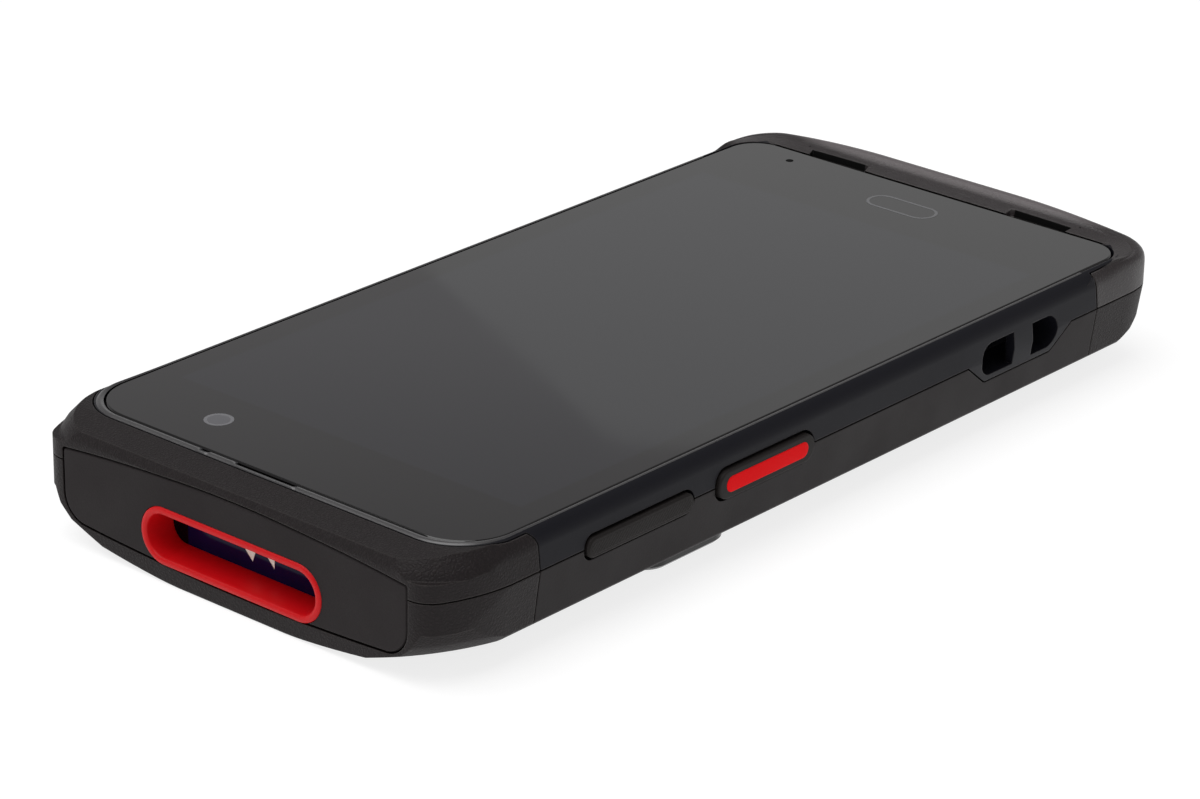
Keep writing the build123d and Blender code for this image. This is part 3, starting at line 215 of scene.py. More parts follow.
def leather_grain(name, dark, light, roughness, pore, depth, specular=0.2, crest=None):
    """Bumper plastic from a leather-etched tool: rounded cells of pore mm between fine creases.

    The height is the distance to the nearest cell wall times a noise of 1.6 pores, plus a noise of
    half a pore. A crest (low, high, colour) is a painted highlight: the colour turns paler from low
    to high mm over the floor."""
    material, tree, output = blank(name)
    place = add(tree, "ShaderNodeTexCoord").outputs["Object"]
    warp = add(tree, "ShaderNodeTexNoise", {"Vector": place, "Scale": 1 / (pore * 1.6 * MM),
                                            "Detail": 2.0, "Roughness": 0.5})
    cells = add(tree, "ShaderNodeTexVoronoi", {"Vector": place, "Scale": 1 / (pore * MM)},
                feature="DISTANCE_TO_EDGE")
    fine = add(tree, "ShaderNodeTexNoise", {"Vector": place, "Scale": 1 / (pore * 0.5 * MM),
                                            "Detail": 3.0, "Roughness": 0.6})
    soft = add(tree, "ShaderNodeMapRange", {"Value": cells.outputs["Distance"], "From Min": 0.0,
                                            "From Max": 0.3, "To Min": 0.0, "To Max": 1.0})
    height = add(tree, "ShaderNodeMath", {0: soft.outputs["Result"], 1: warp.outputs["Fac"]},
                 operation="MULTIPLY")
    height = add(tree, "ShaderNodeMath", {0: height.outputs[0], 1: fine.outputs["Fac"]},
                 operation="ADD")
    colour = add(tree, "ShaderNodeMix", {"Factor": height.outputs[0], "A": linear(dark),
                                         "B": linear(light)}, data_type="RGBA")
    # painted highlight: the colour turns paler towards the top of the crest
    if crest:
        low, high, pale = crest
        split = add(tree, "ShaderNodeSeparateXYZ", {"Vector": place})
        level = add(tree, "ShaderNodeMapRange", {"Value": split.outputs["Z"], "From Min": low * MM,
                                                 "From Max": high * MM})
        colour = add(tree, "ShaderNodeMix", {"Factor": level.outputs["Result"],
                                             "A": colour.outputs["Result"],
                                             "B": linear(pale)}, data_type="RGBA")
    rounded = add(tree, "ShaderNodeBevel", {"Radius": 0.3 * MM}, samples=6).outputs["Normal"]
    bump = add(tree, "ShaderNodeBump", {"Height": height.outputs[0], "Distance": depth * MM,
                                        "Strength": 1.0, "Normal": rounded})
    shader = add(tree, "ShaderNodeBsdfPrincipled",
                 {"Base Color": worn_edges(tree, rounded, colour.outputs["Result"], "504c4a", 0.5),
                  "Roughness": roughness, "IOR": 1.5, "Specular IOR Level": specular,
                  "Normal": bump.outputs["Normal"]})
    tree.links.new(shader.outputs["BSDF"], output.inputs["Surface"])
    return material


def polished(name, colour, roughness, metallic=0.0, specular=0.5, second=None):
    """A smooth finish with only handling marks: noise of HANDLED mm that changes the gloss a little.

    With a second colour, the same noise also shifts the colour between the two."""
    material, tree, output = blank(name)
    place = add(tree, "ShaderNodeTexCoord").outputs["Object"]
    smear = add(tree, "ShaderNodeTexNoise", {"Vector": place, "Scale": 1 / (HANDLED * MM),
                                             "Detail": 4.0, "Roughness": 0.6})
    gloss = add(tree, "ShaderNodeMapRange",
                {"Value": smear.outputs["Fac"], "From Min": 0.3, "From Max": 0.7,
                 "To Min": roughness, "To Max": roughness * 1.6})
    rounded = add(tree, "ShaderNodeBevel", {"Radius": 0.1 * MM}, samples=6)
    settings = {"Base Color": linear(colour), "Roughness": gloss.outputs["Result"],
                "Metallic": metallic, "Normal": rounded.outputs["Normal"]}
    if second:
        tint = add(tree, "ShaderNodeMix", {"Factor": smear.outputs["Fac"], "A": linear(colour),
                                           "B": linear(second)}, data_type="RGBA")
        settings["Base Color"] = tint.outputs["Result"]
    if not metallic:
        settings |= {"IOR": 1.5, "Specular IOR Level": specular}
    shader = add(tree, "ShaderNodeBsdfPrincipled", settings)
    tree.links.new(shader.outputs["BSDF"], output.inputs["Surface"])
    return material


def screen_glass(name, border, picture):
    """Strengthened glass printed black behind; the picture area, unlit, is a little lighter.

    The area is the product of two ramps over PICTURE_SOFT mm: one of the distance from the middle
    across, and one of the distance along from the middle between the picture's two ends."""
    half = GLASS_HALF - PICTURE_BORDER[0]
    low, high = GLASS_LOW[1] + PICTURE_BORDER[1], GLASS_HIGH[1] - PICTURE_BORDER[2]
    material, tree, output = blank(name)
    place = add(tree, "ShaderNodeTexCoord").outputs["Object"]
    split = add(tree, "ShaderNodeSeparateXYZ", {"Vector": place})
    across = add(tree, "ShaderNodeMath", {0: split.outputs["X"]}, operation="ABSOLUTE")
    centred = add(tree, "ShaderNodeMath", {0: split.outputs["Y"], 1: (low + high) / 2 * MM},
                  operation="SUBTRACT")
    along = add(tree, "ShaderNodeMath", {0: centred.outputs[0]}, operation="ABSOLUTE")
    ramps = []
    for value, reach in ((across, half), (along, (high - low) / 2)):
        ramps.append(add(tree, "ShaderNodeMapRange",
                         {"Value": value.outputs[0], "From Min": reach * MM,
                          "From Max": (reach - PICTURE_SOFT) * MM, "To Min": 0.0, "To Max": 1.0}))
    area = add(tree, "ShaderNodeMath", {0: ramps[0].outputs["Result"], 1: ramps[1].outputs["Result"]},
               operation="MULTIPLY")
    colour = add(tree, "ShaderNodeMix", {"Factor": area.outputs[0], "A": linear(border),
                                         "B": linear(picture)}, data_type="RGBA")
    smear = add(tree, "ShaderNodeTexNoise", {"Vector": place, "Scale": 1 / (SMEAR * MM),
                                             "Detail": 3.0, "Roughness": 0.6})
    gloss = add(tree, "ShaderNodeMapRange",
                {"Value": smear.outputs["Fac"], "From Min": 0.35, "From Max": 0.65,
                 "To Min": 0.03, "To Max": 0.045})
    rounded = add(tree, "ShaderNodeBevel", {"Radius": 0.18 * MM}, samples=8)
    shader = add(tree, "ShaderNodeBsdfPrincipled",
                 {"Base Color": colour.outputs["Result"], "Roughness": gloss.outputs["Result"],
                  "IOR": 1.5, "Normal": rounded.outputs["Normal"]})
    tree.links.new(shader.outputs["BSDF"], output.inputs["Surface"])
    return material


# ---- materials ------------------------------------------------------------------------------
def shell_materials():
    """The moulded plastics that the hand touches."""
    return {
        # satin polycarbonate: even, slightly cool black with a soft broad highlight
        "frame_plastic": moulded("polycarbonate_satin", "111116", "17171d", 0.40, 0.25, 0.003,
                                 specular=0.13, edge=0.2),
        # the frame's polycarbonate from a polished tool, drawn grey as a painted highlight and paler
        # still at its edges; glossy enough for a bright line along its crown
        "bezel_satin_painted_light": moulded("polycarbonate_bezel_painted_grey", "343334", "3c3b3c", 0.30, 0.25, 0.002,
                               specular=0.7, edge=0.08, shine="7a7a7a"),
        # etched polycarbonate: warm black, matt, fine sandy grain
        "housing_plastic": moulded("polycarbonate_etched", "130f10", "1c1617", 0.55, 0.3, 0.02),
        # tough polycarbonate blend, leather etched: small cells that catch the light one by one
        "guard_plastic": leather_grain("bumper_leather_etched", "0e0b0b", "1d1718", 0.52, 0.5, 0.07),
        # the same blend where hands wear it: flatter, glossier cells, and its crest drawn paler as a
        # painted highlight
        "handled_guard_painted_crest": leather_grain("bumper_leather_handled_painted_crest", "151011", "241d1e", 0.42, 0.5, 0.04,
                                       specular=0.5, crest=(18.1, 18.65, "5a5455")),
        # polycarbonate of the end panel, finely etched: flat and matt, almost without a highlight
        "panel_plastic": moulded("polycarbonate_matt", "161112", "1f191a", 0.6, 0.25, 0.02),
        # moulded ABS in red, satin: saturated, with a soft sheen
        "red_plastic": moulded("red_abs_satin", "bd070e", "c80a12", 0.42, 0.4, 0.002, specular=0.2,
                               shine="d02a30", wear=0.25),
        # the same ABS in the keys' inlays: brighter, without the sheen of the ring
        "red_inlay": moulded("red_abs_matt", "da060c", "e60a12", 0.55, 0.4, 0.002, specular=0.05,
                             shine="e02a30", wear=0.2),
        # polycarbonate under soft-touch paint: warm black that hardly shines
        "key_rubber": moulded("soft_touch_key", "151211", "1e1a19", 0.6, 0.3, 0.012),
        # silicone gasket: deep black without any gloss
        "seal_rubber": moulded("silicone_gasket", "030303", "050505", 0.9, 0.3, 0.01, specular=0.05),
        # woven polyester acoustic mesh: a black that swallows the light; its weave of 0.05 mm is
        # drawn as a grain of 0.2 mm, which is as fine as shows
        "mesh_black": moulded("acoustic_mesh", "030303", "070707", 0.8, 0.2, 0.03, specular=0.1),
    }


def glass_materials():
    """Glasses, lenses, their coatings and what is printed or seen behind them."""
    return {
        # strengthened glass, printed black behind: mirror smooth, the picture area a shade lighter
        "cover_glass": screen_glass("cover_glass_printed_black", "0c0a0b", "141419"),
        # acrylic with an anti-reflection coat: nearly black, hardly a reflection
        "window_glass": polished("coated_window", "030308", 0.03, specular=0.08),
        # magnesium fluoride coat on the window: dark violet that drifts to blue
        "violet_coating": polished("violet_coated_glass", "06041c", 0.06, specular=0.08,
                                   second="0e0a3a"),
        # painted glint: a plain bright cream that stands for light reflected in the aiming optics'
        # clear polycarbonate prism
        "glint_paint_white": polished("painted_glint_facet", "e6e2d6", 0.2),
        # coated optical glass: slate blue with sharp highlights
        "optics": polished("coated_lens", "202838", 0.05),
        # polished acrylic: piano black
        "lens_black": polished("gloss_black_acrylic", "0a0a0b", 0.08),
        # hardened glass over the rear camera: black, the sharpest reflections
        "lens_glass": polished("camera_cover", "07070c", 0.03),
        # coated camera lens: deep blue, uneven as a real coating is
        "blue_lens": polished("blue_coated_lens", "141c3c", 0.03, second="0c1024"),
        # moulded polycarbonate diffuser: milky cream
        "flash_white": polished("flash_diffuser", "d8d0b4", 0.25),
        # liquid crystal panel, switched off: smooth black
        "display_black": polished("display_off", "0a0a0b", 0.1),
        # screen-printed ink behind the glass: a thin grey line
        "key_line": polished("printed_grey_line", "505053", 0.1),
        # the same ink round the camera's eye, a little uneven
        "eye_rim": polished("sensor_rim_grey", "606063", 0.12, second="6c6c70"),
        # clear window in the print with the lens under it: a darker grey than its rim
        "eye_lens": polished("sensor_lens_grey", "4a4a4e", 0.05, second="58585c"),
        # drilled hole: black, since no light comes back from it
        "pinhole": polished("pinhole_black", "000000", 0.6, specular=0.1),
    }


def inner_materials():
    """Metals, boards and modules, which show at the ports or with the housing open."""
    return {
        # acrylic foam tape: dull black
        "tape_black": polished("bonding_tape", "060606", 0.5, specular=0.2),
        # cast magnesium under a conversion coat: light grey, matt, a little rough
        "chassis_metal": moulded("cast_magnesium", "8a8a8c", "949496", 0.4, 0.6, 0.01, specular=0.5,
                                 shine="b4b4b6"),
        # epoxy board under solder mask: dark green with a wet gloss
        "board_green": polished("solder_mask", "0d4a22", 0.25),
        # tinned steel sheet, stamped: bright grey with soft reflections
        "shield_steel": polished("tinned_sheet", "b8b8ba", 0.3, metallic=1.0),
        # stainless strip, rolled: a shade darker than the tin
        "spring_steel": polished("stainless_strip", "a8a8a8", 0.3, metallic=1.0),
        # epoxy moulding compound of the chips: even charcoal, matt
        "chip_black": moulded("epoxy_package", "151516", "1c1c1d", 0.6, 0.3, 0.01),
        # shrunk polyester sleeve: near black with the gloss of a film
        "battery_wrap": polished("battery_wrap", "1c1c1e", 0.35),
        # moulded POM: waxy black
        "engine_black": moulded("engine_pom", "101011", "161617", 0.5, 0.3, 0.01),
        # polyimide film: amber, glossy
        "flex_amber": polished("polyimide", "8a4a12", 0.3),
        # hard gold plate over bronze: warm yellow, clear reflections
        "contact_gold": polished("gold_plate", "d9b25f", 0.2, metallic=1.0),
        # stainless shell, drawn: mid grey with soft reflections
        "port_steel": polished("stainless_shell", "8c8c8e", 0.28, metallic=1.0),
        # glass-filled nylon of the small modules: dull charcoal
        "module_black": moulded("moulded_module", "161617", "1c1c1d", 0.5, 0.3, 0.008),
        # blackened steel: dark metal with blurred reflections
        "screw_steel": polished("blackened_steel", "2a2a2c", 0.35, metallic=1.0),
    }


# ---- mesh tools -----------------------------------------------------------------------------
MERGE = 0.0005             # vertices nearer than this are one
STRAIGHT = 0.1             # a path's points this near to its end are on the straight part


def finish_mesh(mesh, angle):
    """Joins vertices at the same place, turns faces outwards and keeps edges sharper than angle."""
    shape = bmesh.new()
    shape.from_mesh(mesh)
    bmesh.ops.remove_doubles(shape, verts=shape.verts, dist=MERGE * MM)
    bmesh.ops.recalc_face_normals(shape, faces=shape.faces)
    limit = math.radians(angle)
    for edge in shape.edges:
        edge.smooth = len(edge.link_faces) == 2 and edge.calc_face_angle(0.0) < limit
    for face in shape.faces:
        face.smooth = True
    shape.to_mesh(mesh)
    shape.free()


def place_piece(name, mesh, node, finish, replaces=False):
    """Links a mesh as a piece that rides on a CAD node's body, with its finish.

    It stands for the node where replaces says so."""
    piece = bpy.data.objects.new(name, mesh)
    bpy.context.scene.collection.objects.link(piece)
    mesh.materials.clear()
    mesh.materials.append(finish)
    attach(piece, body_of(NODES[node])[0])
    if replaces:
        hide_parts(node)
    return piece


def joined_skin(node, finish, reshape=None):
    """A CAD node's skin as one smooth mesh: its triangles joined, flat faces kept flat.

    reshape takes the points in mm and gives them back where the skin has to be eased."""
    mesh = NODES[node].data.copy()
    mesh.name = node + "_skin"
    if "custom_normal" in mesh.attributes:
        mesh.attributes.remove(mesh.attributes["custom_normal"])
    if reshape:
        points = np.empty(3 * len(mesh.vertices), np.float32)
        mesh.vertices.foreach_get("co", points)
        points = reshape(points.reshape(-1, 3) / MM) * MM
        mesh.vertices.foreach_set("co", points.astype(np.float32).ravel())
    finish_mesh(mesh, angle=32.0)
    piece = place_piece(node + "_skin", mesh, node, finish, replaces=True)
    weighted = piece.modifiers.new("flat_faces", "WEIGHTED_NORMAL")
    weighted.keep_sharp = True


def quads(rows, columns, wrap_rows, wrap_columns):
    """Corner numbers of the quads of a grid that may close on itself either way."""
    i = np.arange(rows if wrap_rows else rows - 1)[:, None]
    j = np.arange(columns if wrap_columns else columns - 1)[None, :]
    i2, j2 = (i + 1) % rows, (j + 1) % columns
    corners = [a * columns + b for a, b in ((i, j), (i2, j), (i2, j2), (i, j2))]
    return np.stack(corners, -1).reshape(-1, 4)


def grid_mesh(name, points, wrap_rows=False, wrap_columns=False, angle=35.0):
    """A mesh through a (rows, columns, 3) grid of points in mm."""
    rows, columns = points.shape[:2]
    mesh = bpy.data.meshes.new(name)
    faces = quads(rows, columns, wrap_rows, wrap_columns)
    mesh.from_pydata((points.reshape(-1, 3) * MM).tolist(), [], faces.tolist())
    finish_mesh(mesh, angle)
    return mesh


def face_way(points, centre, way):
    """Turns (along, up, out) points to a side (way x or -x), to the scan end (y) or to the top (z).

    The level outwards is measured from the model's middle plane, or from the floor for z."""
    along, up, out = points[..., 0], points[..., 1], points[..., 2]
    if way in ("x", "-x"):
        sign = 1 if way == "x" else -1
        return np.stack([sign * out, centre[0] + along, centre[1] + up], -1)
    if way == "y":
        return np.stack([centre[0] + along, out, centre[1] + up], -1)
    return np.stack([centre[0] + along, centre[1] + up, out], -1)


def stadium_skin(name, length, height, profile, centre, way, closed=False):
    """A profile carried round a stadium of length by height mm.

    At each (inset, level) of the profile the two end arcs have radius height / 2 - inset, round
    centres (length - height) / 2 each side of the middle; an inset of height / 2 closes the face.
    With closed, the profile's last point joins its first."""
    steps = 24
    inset, level = np.array(profile, float).T
    half_turn = np.linspace(-math.pi / 2, math.pi / 2, steps + 1)
    angle = np.concatenate([half_turn, half_turn + math.pi])
    side = np.repeat([1.0, -1.0], steps + 1)
    radius = (height / 2 - inset)[:, None]
    along = side * (length - height) / 2 + radius * np.cos(angle)
    up = radius * np.sin(angle)
    out = np.broadcast_to(level[:, None], along.shape)
    points = face_way(np.stack([along, up, out], -1), centre, way)
    return grid_mesh(name, points, wrap_rows=closed, wrap_columns=True)


def plate_mesh(name, front, depth, centre, way):
    """A closed plate: a (rows, columns) grid of (along, up, out) points over its copy at one depth.

    The front is drawn down to the back at its first and last column."""
    back = front.copy()
    back[..., 2] = depth
    front, back = face_way(front, centre, way), face_way(back, centre, way)
    front = np.concatenate([back[:, :1], front, back[:, -1:]], 1)
    back = np.concatenate([back[:, :1], back, back[:, -1:]], 1)
    return grid_mesh(name, np.concatenate([front, back[::-1]], 0), wrap_rows=True)


def round_corner(half, radius):
    """The corner of end_path as one arc of the radius."""
    return half - radius, radius, radius


def end_path(half, end, corner, start, counts=(16, 26, 130)):
    """Half plan of the body's end from (half, start) round the corner to the other side.

    corner is (flat, side_radius, end_radius), two arcs that share a tangent: a long one of
    side_radius on the side, and one of end_radius round (flat, end - end_radius). Points are set by
    the direction of the outward normal, so that two paths have their points opposite each other.
    counts are those on the side, on the corner and on half the end."""
    flat, side_radius, end_radius = corner
    rise = math.sqrt(max((side_radius - end_radius) ** 2 - (flat - half + side_radius) ** 2, 0.0))
    turn = math.atan2(rise, flat - half + side_radius)
    angle = np.linspace(0, math.pi / 2, counts[1])
    on_side = angle < turn
    centre_x = np.where(on_side, half - side_radius, flat)
    centre_y = np.where(on_side, end - end_radius - rise, end - end_radius)
    radius = np.where(on_side, side_radius, end_radius)
    arcs = np.stack([centre_x + radius * np.cos(angle), centre_y + radius * np.sin(angle)], -1)
    side = np.linspace((half, start), arcs[0], counts[0] + 1)[:-1]
    across = np.linspace(arcs[-1], (0.0, end), counts[2] + 1)[1:]
    right = np.concatenate([side, arcs, across])
    left = right[-2::-1] * (-1, 1)
    return np.concatenate([right, left])


def smooth_step(value, low, high):
    """0 below low, 1 above high, and a cubic ease between."""
    share = np.clip((value - low) / (high - low), 0, 1)
    return share * share * (3 - 2 * share)


def capped(points):
    """A (stations, section, 3) tube whose two open ends are drawn together to a point."""
    ends = [np.broadcast_to(points[k].mean(0), points[k].shape)[None] for k in (0, -1)]
    return np.concatenate([ends[0], points, ends[1]])


# ---- scan end -------------------------------------------------------------------------------
BEAD_INNER = (0.12, 0.32, 8.22)    # clear of the glass at the side and at the end; corner radius
BEAD_OUTER = (0.57, 1.45, 8.35)
BEAD_START = -60.0
BEAD_HEIGHTS = (0.07, 0.22)        # along the sides, and round the scan end
BEAD_RISE = (52.0, 66.0)           # it grows from one to the other between these
BEAD_SEAT = 0.02                   # its edges lie this far under the glass face
BEAD_FOOT = 0.1
BEAD_SLITS = ((-6.3, -5.6, 4.8, 5.5), (9.7, 10.2, 11.5, 12.0))   # where its steps begin and end
SLIT_STEP = 0.6
RING_BEAD = (1.05, 0.35)           # width and height of the bead at the ring's mouth
RING_DRAFT = 0.55
RING_BELLY = 1.32                  # inset of the cone half way down, where it bulges a little
COATING_ENDS = (-13.5, 12.2)
COATING_HEIGHTS = (4.15, 9.6)
COATING_CROWN = (0.04, 12.9)       # its height, and the half length that it falls off over
COATING_SUNK = 0.08
# painted glints: bright triangles in the window that stand for reflected light
GLINT_SHAPES = ((1.1, 2.2, 0.1, 5.7), (-2.4, 1.6, -3.9, 5.9))   # top middle, half top, point x, point z
GLINT_TOP = 9.0
GLINT_PROUD = (0.1, 0.06)          # its edge over the window, and its crown over the edge


def make_bezel_bead(materials):
    """Satin bead between the glass and the end guard: a half sine across its width, drawn grey as a
    painted highlight.

    It runs between an inner and an outer plan, steps back at the sound slits, and goes on along the
    sides as a low line."""
    paths = []
    for side, end, radius in (BEAD_INNER, BEAD_OUTER):
        half = GLASS_HALF + side
        paths.append(end_path(half, GLASS_HIGH[1] + end, round_corner(half, radius), BEAD_START,
                              counts=(80, 40, 140)))
    inner, outer = paths
    slit = sum(smooth_step(inner[:, 0], *steps[:2]) - smooth_step(inner[:, 0], *steps[2:])
               for steps in BEAD_SLITS)
    on_end = inner[:, 1] > inner[:, 1].max() - STRAIGHT
    inner[:, 1] += SLIT_STEP * slit * on_end
    share = np.linspace(0, 1, 11)[None, :, None]
    plan = inner[:, None] + (outer - inner)[:, None] * share
    low, high = BEAD_HEIGHTS
    height = low + (high - low) * smooth_step(inner[:, 1], *BEAD_RISE)[:, None]
    level = GLASS - BEAD_SEAT + height * np.sin(math.pi * share[..., 0])
    top = np.concatenate([plan, level[..., None]], -1)
    base = top[:, ::-1][:, 1:-1].copy()
    base[..., 2] = GLASS - BEAD_FOOT
    mesh = grid_mesh("bezel_bead", capped(np.concatenate([top, base], 1)), wrap_columns=True,
                     angle=60)
    place_piece("bezel_bead", mesh, "front_frame", materials["bezel_satin_painted_light"])


def make_window_ring(materials):
    """Funnel ring: a bead at the mouth, then a cone that narrows by RING_DRAFT over its depth.

    The bead is a half ellipse of RING_BEAD's width and height."""
    width, height = RING_BEAD
    length, _, tall = RING_HIGH - RING_LOW
    back, crown = RING_LOW[1], RING_HIGH[1] - height
    turn = np.linspace(math.pi, 0, 13)
    bead = np.stack([width / 2 * (1 + np.cos(turn)), crown + height * np.sin(turn)], -1)
    profile = [(0.0, back), *bead.tolist(), (RING_BELLY, (back + crown) / 2),
               (width + RING_DRAFT, back)]
    mesh = stadium_skin("window_ring_funnel", length, tall, profile,
                        middle_mm("window_ring")[[0, 2]], "y", closed=True)
    place_piece("window_ring_funnel", mesh, "window_ring", materials["red_plastic"], replaces=True)


def make_window_coating(materials):
    """The coated band behind the window: a sheet crowned by 1 minus the eighth power of the distance.

    Its lower edge is a straight line, and its ends are cut square."""
    crown, fade = COATING_CROWN
    low, high = COATING_HEIGHTS
    along, share = np.meshgrid(np.linspace(*COATING_ENDS, 40), np.linspace(0, 1, 9), indexing="xy")
    out = WINDOW + crown * (1 - ((along - sum(COATING_ENDS) / 2) / fade) ** 8)
    front = np.stack([along, low + (high - low) * share, out], -1)
    mesh = plate_mesh("window_coating", front, WINDOW - COATING_SUNK, (0.0, 0.0), "y")
    place_piece("window_coating", mesh, "scan_window", materials["violet_coating"])


def make_painted_glints(materials):
    """Two painted glints at the window, drawn as light facets of the aiming optics: triangles that
    point down.

    A facet's width shrinks in proportion to its height over its point, and its point lies off to
    one side. Its crown is a parabola across."""
    edge, crown = GLINT_PROUD
    share = np.linspace(0, 1, 7)[:, None]
    across = np.linspace(-1, 1, 7)[None, :]
    for number, (top_x, top_half, point_x, point_z) in enumerate(GLINT_SHAPES):
        along = point_x + (top_x - point_x) * share + top_half * share * across
        up = point_z + (GLINT_TOP - point_z) * share + 0 * across
        out = WINDOW + edge + crown * (1 - across ** 2) * share
        mesh = plate_mesh(f"painted_glint_facet_{number}", np.stack([along, up, out], -1), WINDOW,
                          (0.0, 0.0), "y")
        place_piece(f"painted_glint_facet_{number}", mesh, "scan_window", materials["glint_paint_white"])


# ---- screen ---------------------------------------------------------------------------------
PRINT_SUNK = 0.01
PRINT_PROUD = 0.015
EYE = (16.9, 62.6)
SCREEN_MARKS = (           # piece, length, height, width of its line or None, middle, finish
    ("home_key_line", 12.25, 5.1, 0.5, (-0.3, -63.65), "key_line"),
    ("camera_eye_rim", 4.1, 4.1, 0.5, EYE, "eye_rim"),
    ("camera_eye", 3.1, 3.1, None, EYE, "eye_lens"),
    ("light_sensor", 1.2, 1.2, None, (24.7, -67.8), "pinhole"))


def make_screen_marks(materials):
    """What is printed on or seen through the glass: stadium lines and discs as thick as a print."""
    low, high = GLASS - PRINT_SUNK, GLASS + PRINT_PROUD
    for name, length, height, line, middle, finish in SCREEN_MARKS:
        if line:
            profile = [(0.0, low), (0.0, high), (line, high), (line, low)]
        else:
            profile = [(height / 2, low), (0.0, low), (0.0, high), (height / 2, high)]
        mesh = stadium_skin(name, length, height, profile, middle, "z", closed=bool(line))
        place_piece(name, mesh, "cover_glass", materials[finish])


# ---- keys -----------------------------------------------------------------------------------
KEYS = (("left_scan_key", "-x", 20.2, 4.1), ("right_scan_key", "x", 20.2, 4.1),
        ("power_key", "x", 10.0, 2.9))     # node, way, length and height of its cap
KEY_ROLL = 0.3             # radius of the cap's edge
FLANGE = 0.9               # how far it stands out behind the wall
FLANGE_THICKNESS = 0.6
INLAY = (17.2, 2.3)        # length and height
INLAY_EDGE = ((0.0, 0.01), (0.05, 0.045), (0.13, 0.06))   # insets and heights over the key's face
INLAY_SUNK = 0.12
GRIP = (19.9, 1.9)
GRIP_PITCH = 0.62
GRIP_HEIGHT = 0.05
GRIP_BORDER = 0.15         # the knurling fades in over this
GRIP_SUNK = (0.01, 0.08)   # its edge and its back, under the rocker's face


def key_profile(height):
    """Half section of a key: flange behind the wall, upright cap, edge rolled over KEY_ROLL."""
    turn = np.linspace(0, math.pi / 2, 8)
    roll = np.stack([KEY_ROLL - KEY_ROLL * np.cos(turn),
                     KEY_FACE - KEY_ROLL + KEY_ROLL * np.sin(turn)], -1)
    shoulder = KEY_BACK + FLANGE_THICKNESS
    return [(height / 2, KEY_BACK), (-FLANGE, KEY_BACK), (-FLANGE, shoulder), (0.0, shoulder),
            *roll.tolist(), (height / 2, KEY_FACE)]


def make_keys(materials):
    """Scan keys with their red inlays, and the power key."""
    for node, way, length, height in KEYS:
        mesh = stadium_skin(node + "_cap", length, height, key_profile(height),
                            middle_mm(node)[1:], way)
        place_piece(node + "_cap", mesh, node, materials["key_rubber"], replaces=True)
    length, height = INLAY
    edge = [(inset, KEY_FACE + rise) for inset, rise in INLAY_EDGE]
    profile = [(height / 2, KEY_FACE - INLAY_SUNK), (0.0, KEY_FACE - INLAY_SUNK), *edge,
               (height / 2, edge[-1][1])]
    for node, way in (("left_key_stripe", "-x"), ("right_key_stripe", "x")):
        mesh = stadium_skin(node + "_inlay", length, height, profile, middle_mm(node)[1:], way)
        place_piece(node + "_inlay", mesh, node, materials["red_inlay"], replaces=True)


def make_rocker_grip(materials):
    """Knurled face of the volume rocker: a stadium grid whose level is two crossed cosine waves.

    The waves run at 45 degrees each way, GRIP_PITCH apart, drawn coarser than the real grip, whose
    0.35 mm would not show."""
    length, height = GRIP
    edge, back = GRIP_SUNK
    along = np.linspace(-length / 2, length / 2, 330)[None, :]
    share = np.linspace(-1, 1, 33)[:, None]
    past = np.clip(np.abs(along) - (length - height) / 2, 0, height / 2)
    reach = np.sqrt(np.clip((height / 2) ** 2 - past ** 2, 0, None))
    up = share * reach
    turn = 2 * math.pi / GRIP_PITCH
    wave = (np.cos(turn * (along + up)) + np.cos(turn * (along - up))) / 2
    border = np.clip((1 - np.abs(share)) * reach / GRIP_BORDER, 0, 1)
    out = KEY_FACE - edge + border * GRIP_HEIGHT * (1 + wave) / 2
    front = np.stack([np.broadcast_to(along, up.shape), up, out], -1)
    mesh = plate_mesh("rocker_grip", front, KEY_FACE - back, middle_mm("volume_rocker")[1:], "-x")
    place_piece("rocker_grip", mesh, "volume_rocker", materials["key_rubber"])


# ---- base end -------------------------------------------------------------------------------
FRAME_LIP = (72.05, 16.1)          # beyond this the frame stands no higher than this
OPENING_GAP = 0.3                  # between the glass and the bumper
OPENING_RADIUS = 5.3
BUMPER_START = 61.6                # its two side joints
BUMPER_CORNER = (32.2, 16.0, 5.5)
BUMPER_EASE = (63.0, 73.5)         # the side's section turns into the end's between these
END_ROLL = ((0, GUARD_FOOT), (0, 13.6), (0, 15.0), (0, 16.2), (0.05, 16.9), (0.16, 17.6),
            (0.34, 18.1), (0.6, 18.5), (0.9, 18.82), (1.25, 19.03), (1.7, 19.09), (2.15, 19.0),
            (2.35, 18.88))         # insets and heights: up the end and over the crest
SIDE_ROLL = ((0.02, GUARD_FOOT), (0.13, 13.1), (0.24, 14.1), (0.35, 15.1), (0.4, 15.34),
             (0.46, 15.57), (0.55, 15.79), (0.71, 16.13), (0.92, 16.44), (1.13, 16.66),
             (1.31, 16.85), (1.47, 16.98), (1.58, 17.06))
END_SLOPE = ((2.5, 18.7), (2.9, 18.3), (5.28, 17.42))   # from the crest down to the glass
SIDE_SLOPE = ((1.58, 17.0), (1.58, 16.5))
END_UNDER = ((4.9, 16.9), (1.3, 16.0), (1.0, GUARD_FOOT))   # and back underneath
SIDE_UNDER = ((1.5, 16.4), (1.3, 16.0), (1.0, GUARD_FOOT))
SLOPE_ROWS = 12
CREST = 19.09
CREST_HALF = 12.0                  # half of the crest's level stretch
CREST_FALL = 1.9                   # and how far it has come down at the sides
FALL_FOOT = 14.0                   # what lies lower on the outer face stays
SOUND_SLOT_X = 20.0                # middle of each sound slot, from the model's middle
SOUND_SLOT_HALF = 5.65
SOUND_SLOT_DEPTH = 1.0
MESH_SUNK = 0.25                   # the slots' mesh starts this far under the slope
MESH_EDGE = 0.2                    # and takes in the faces this far past their ends
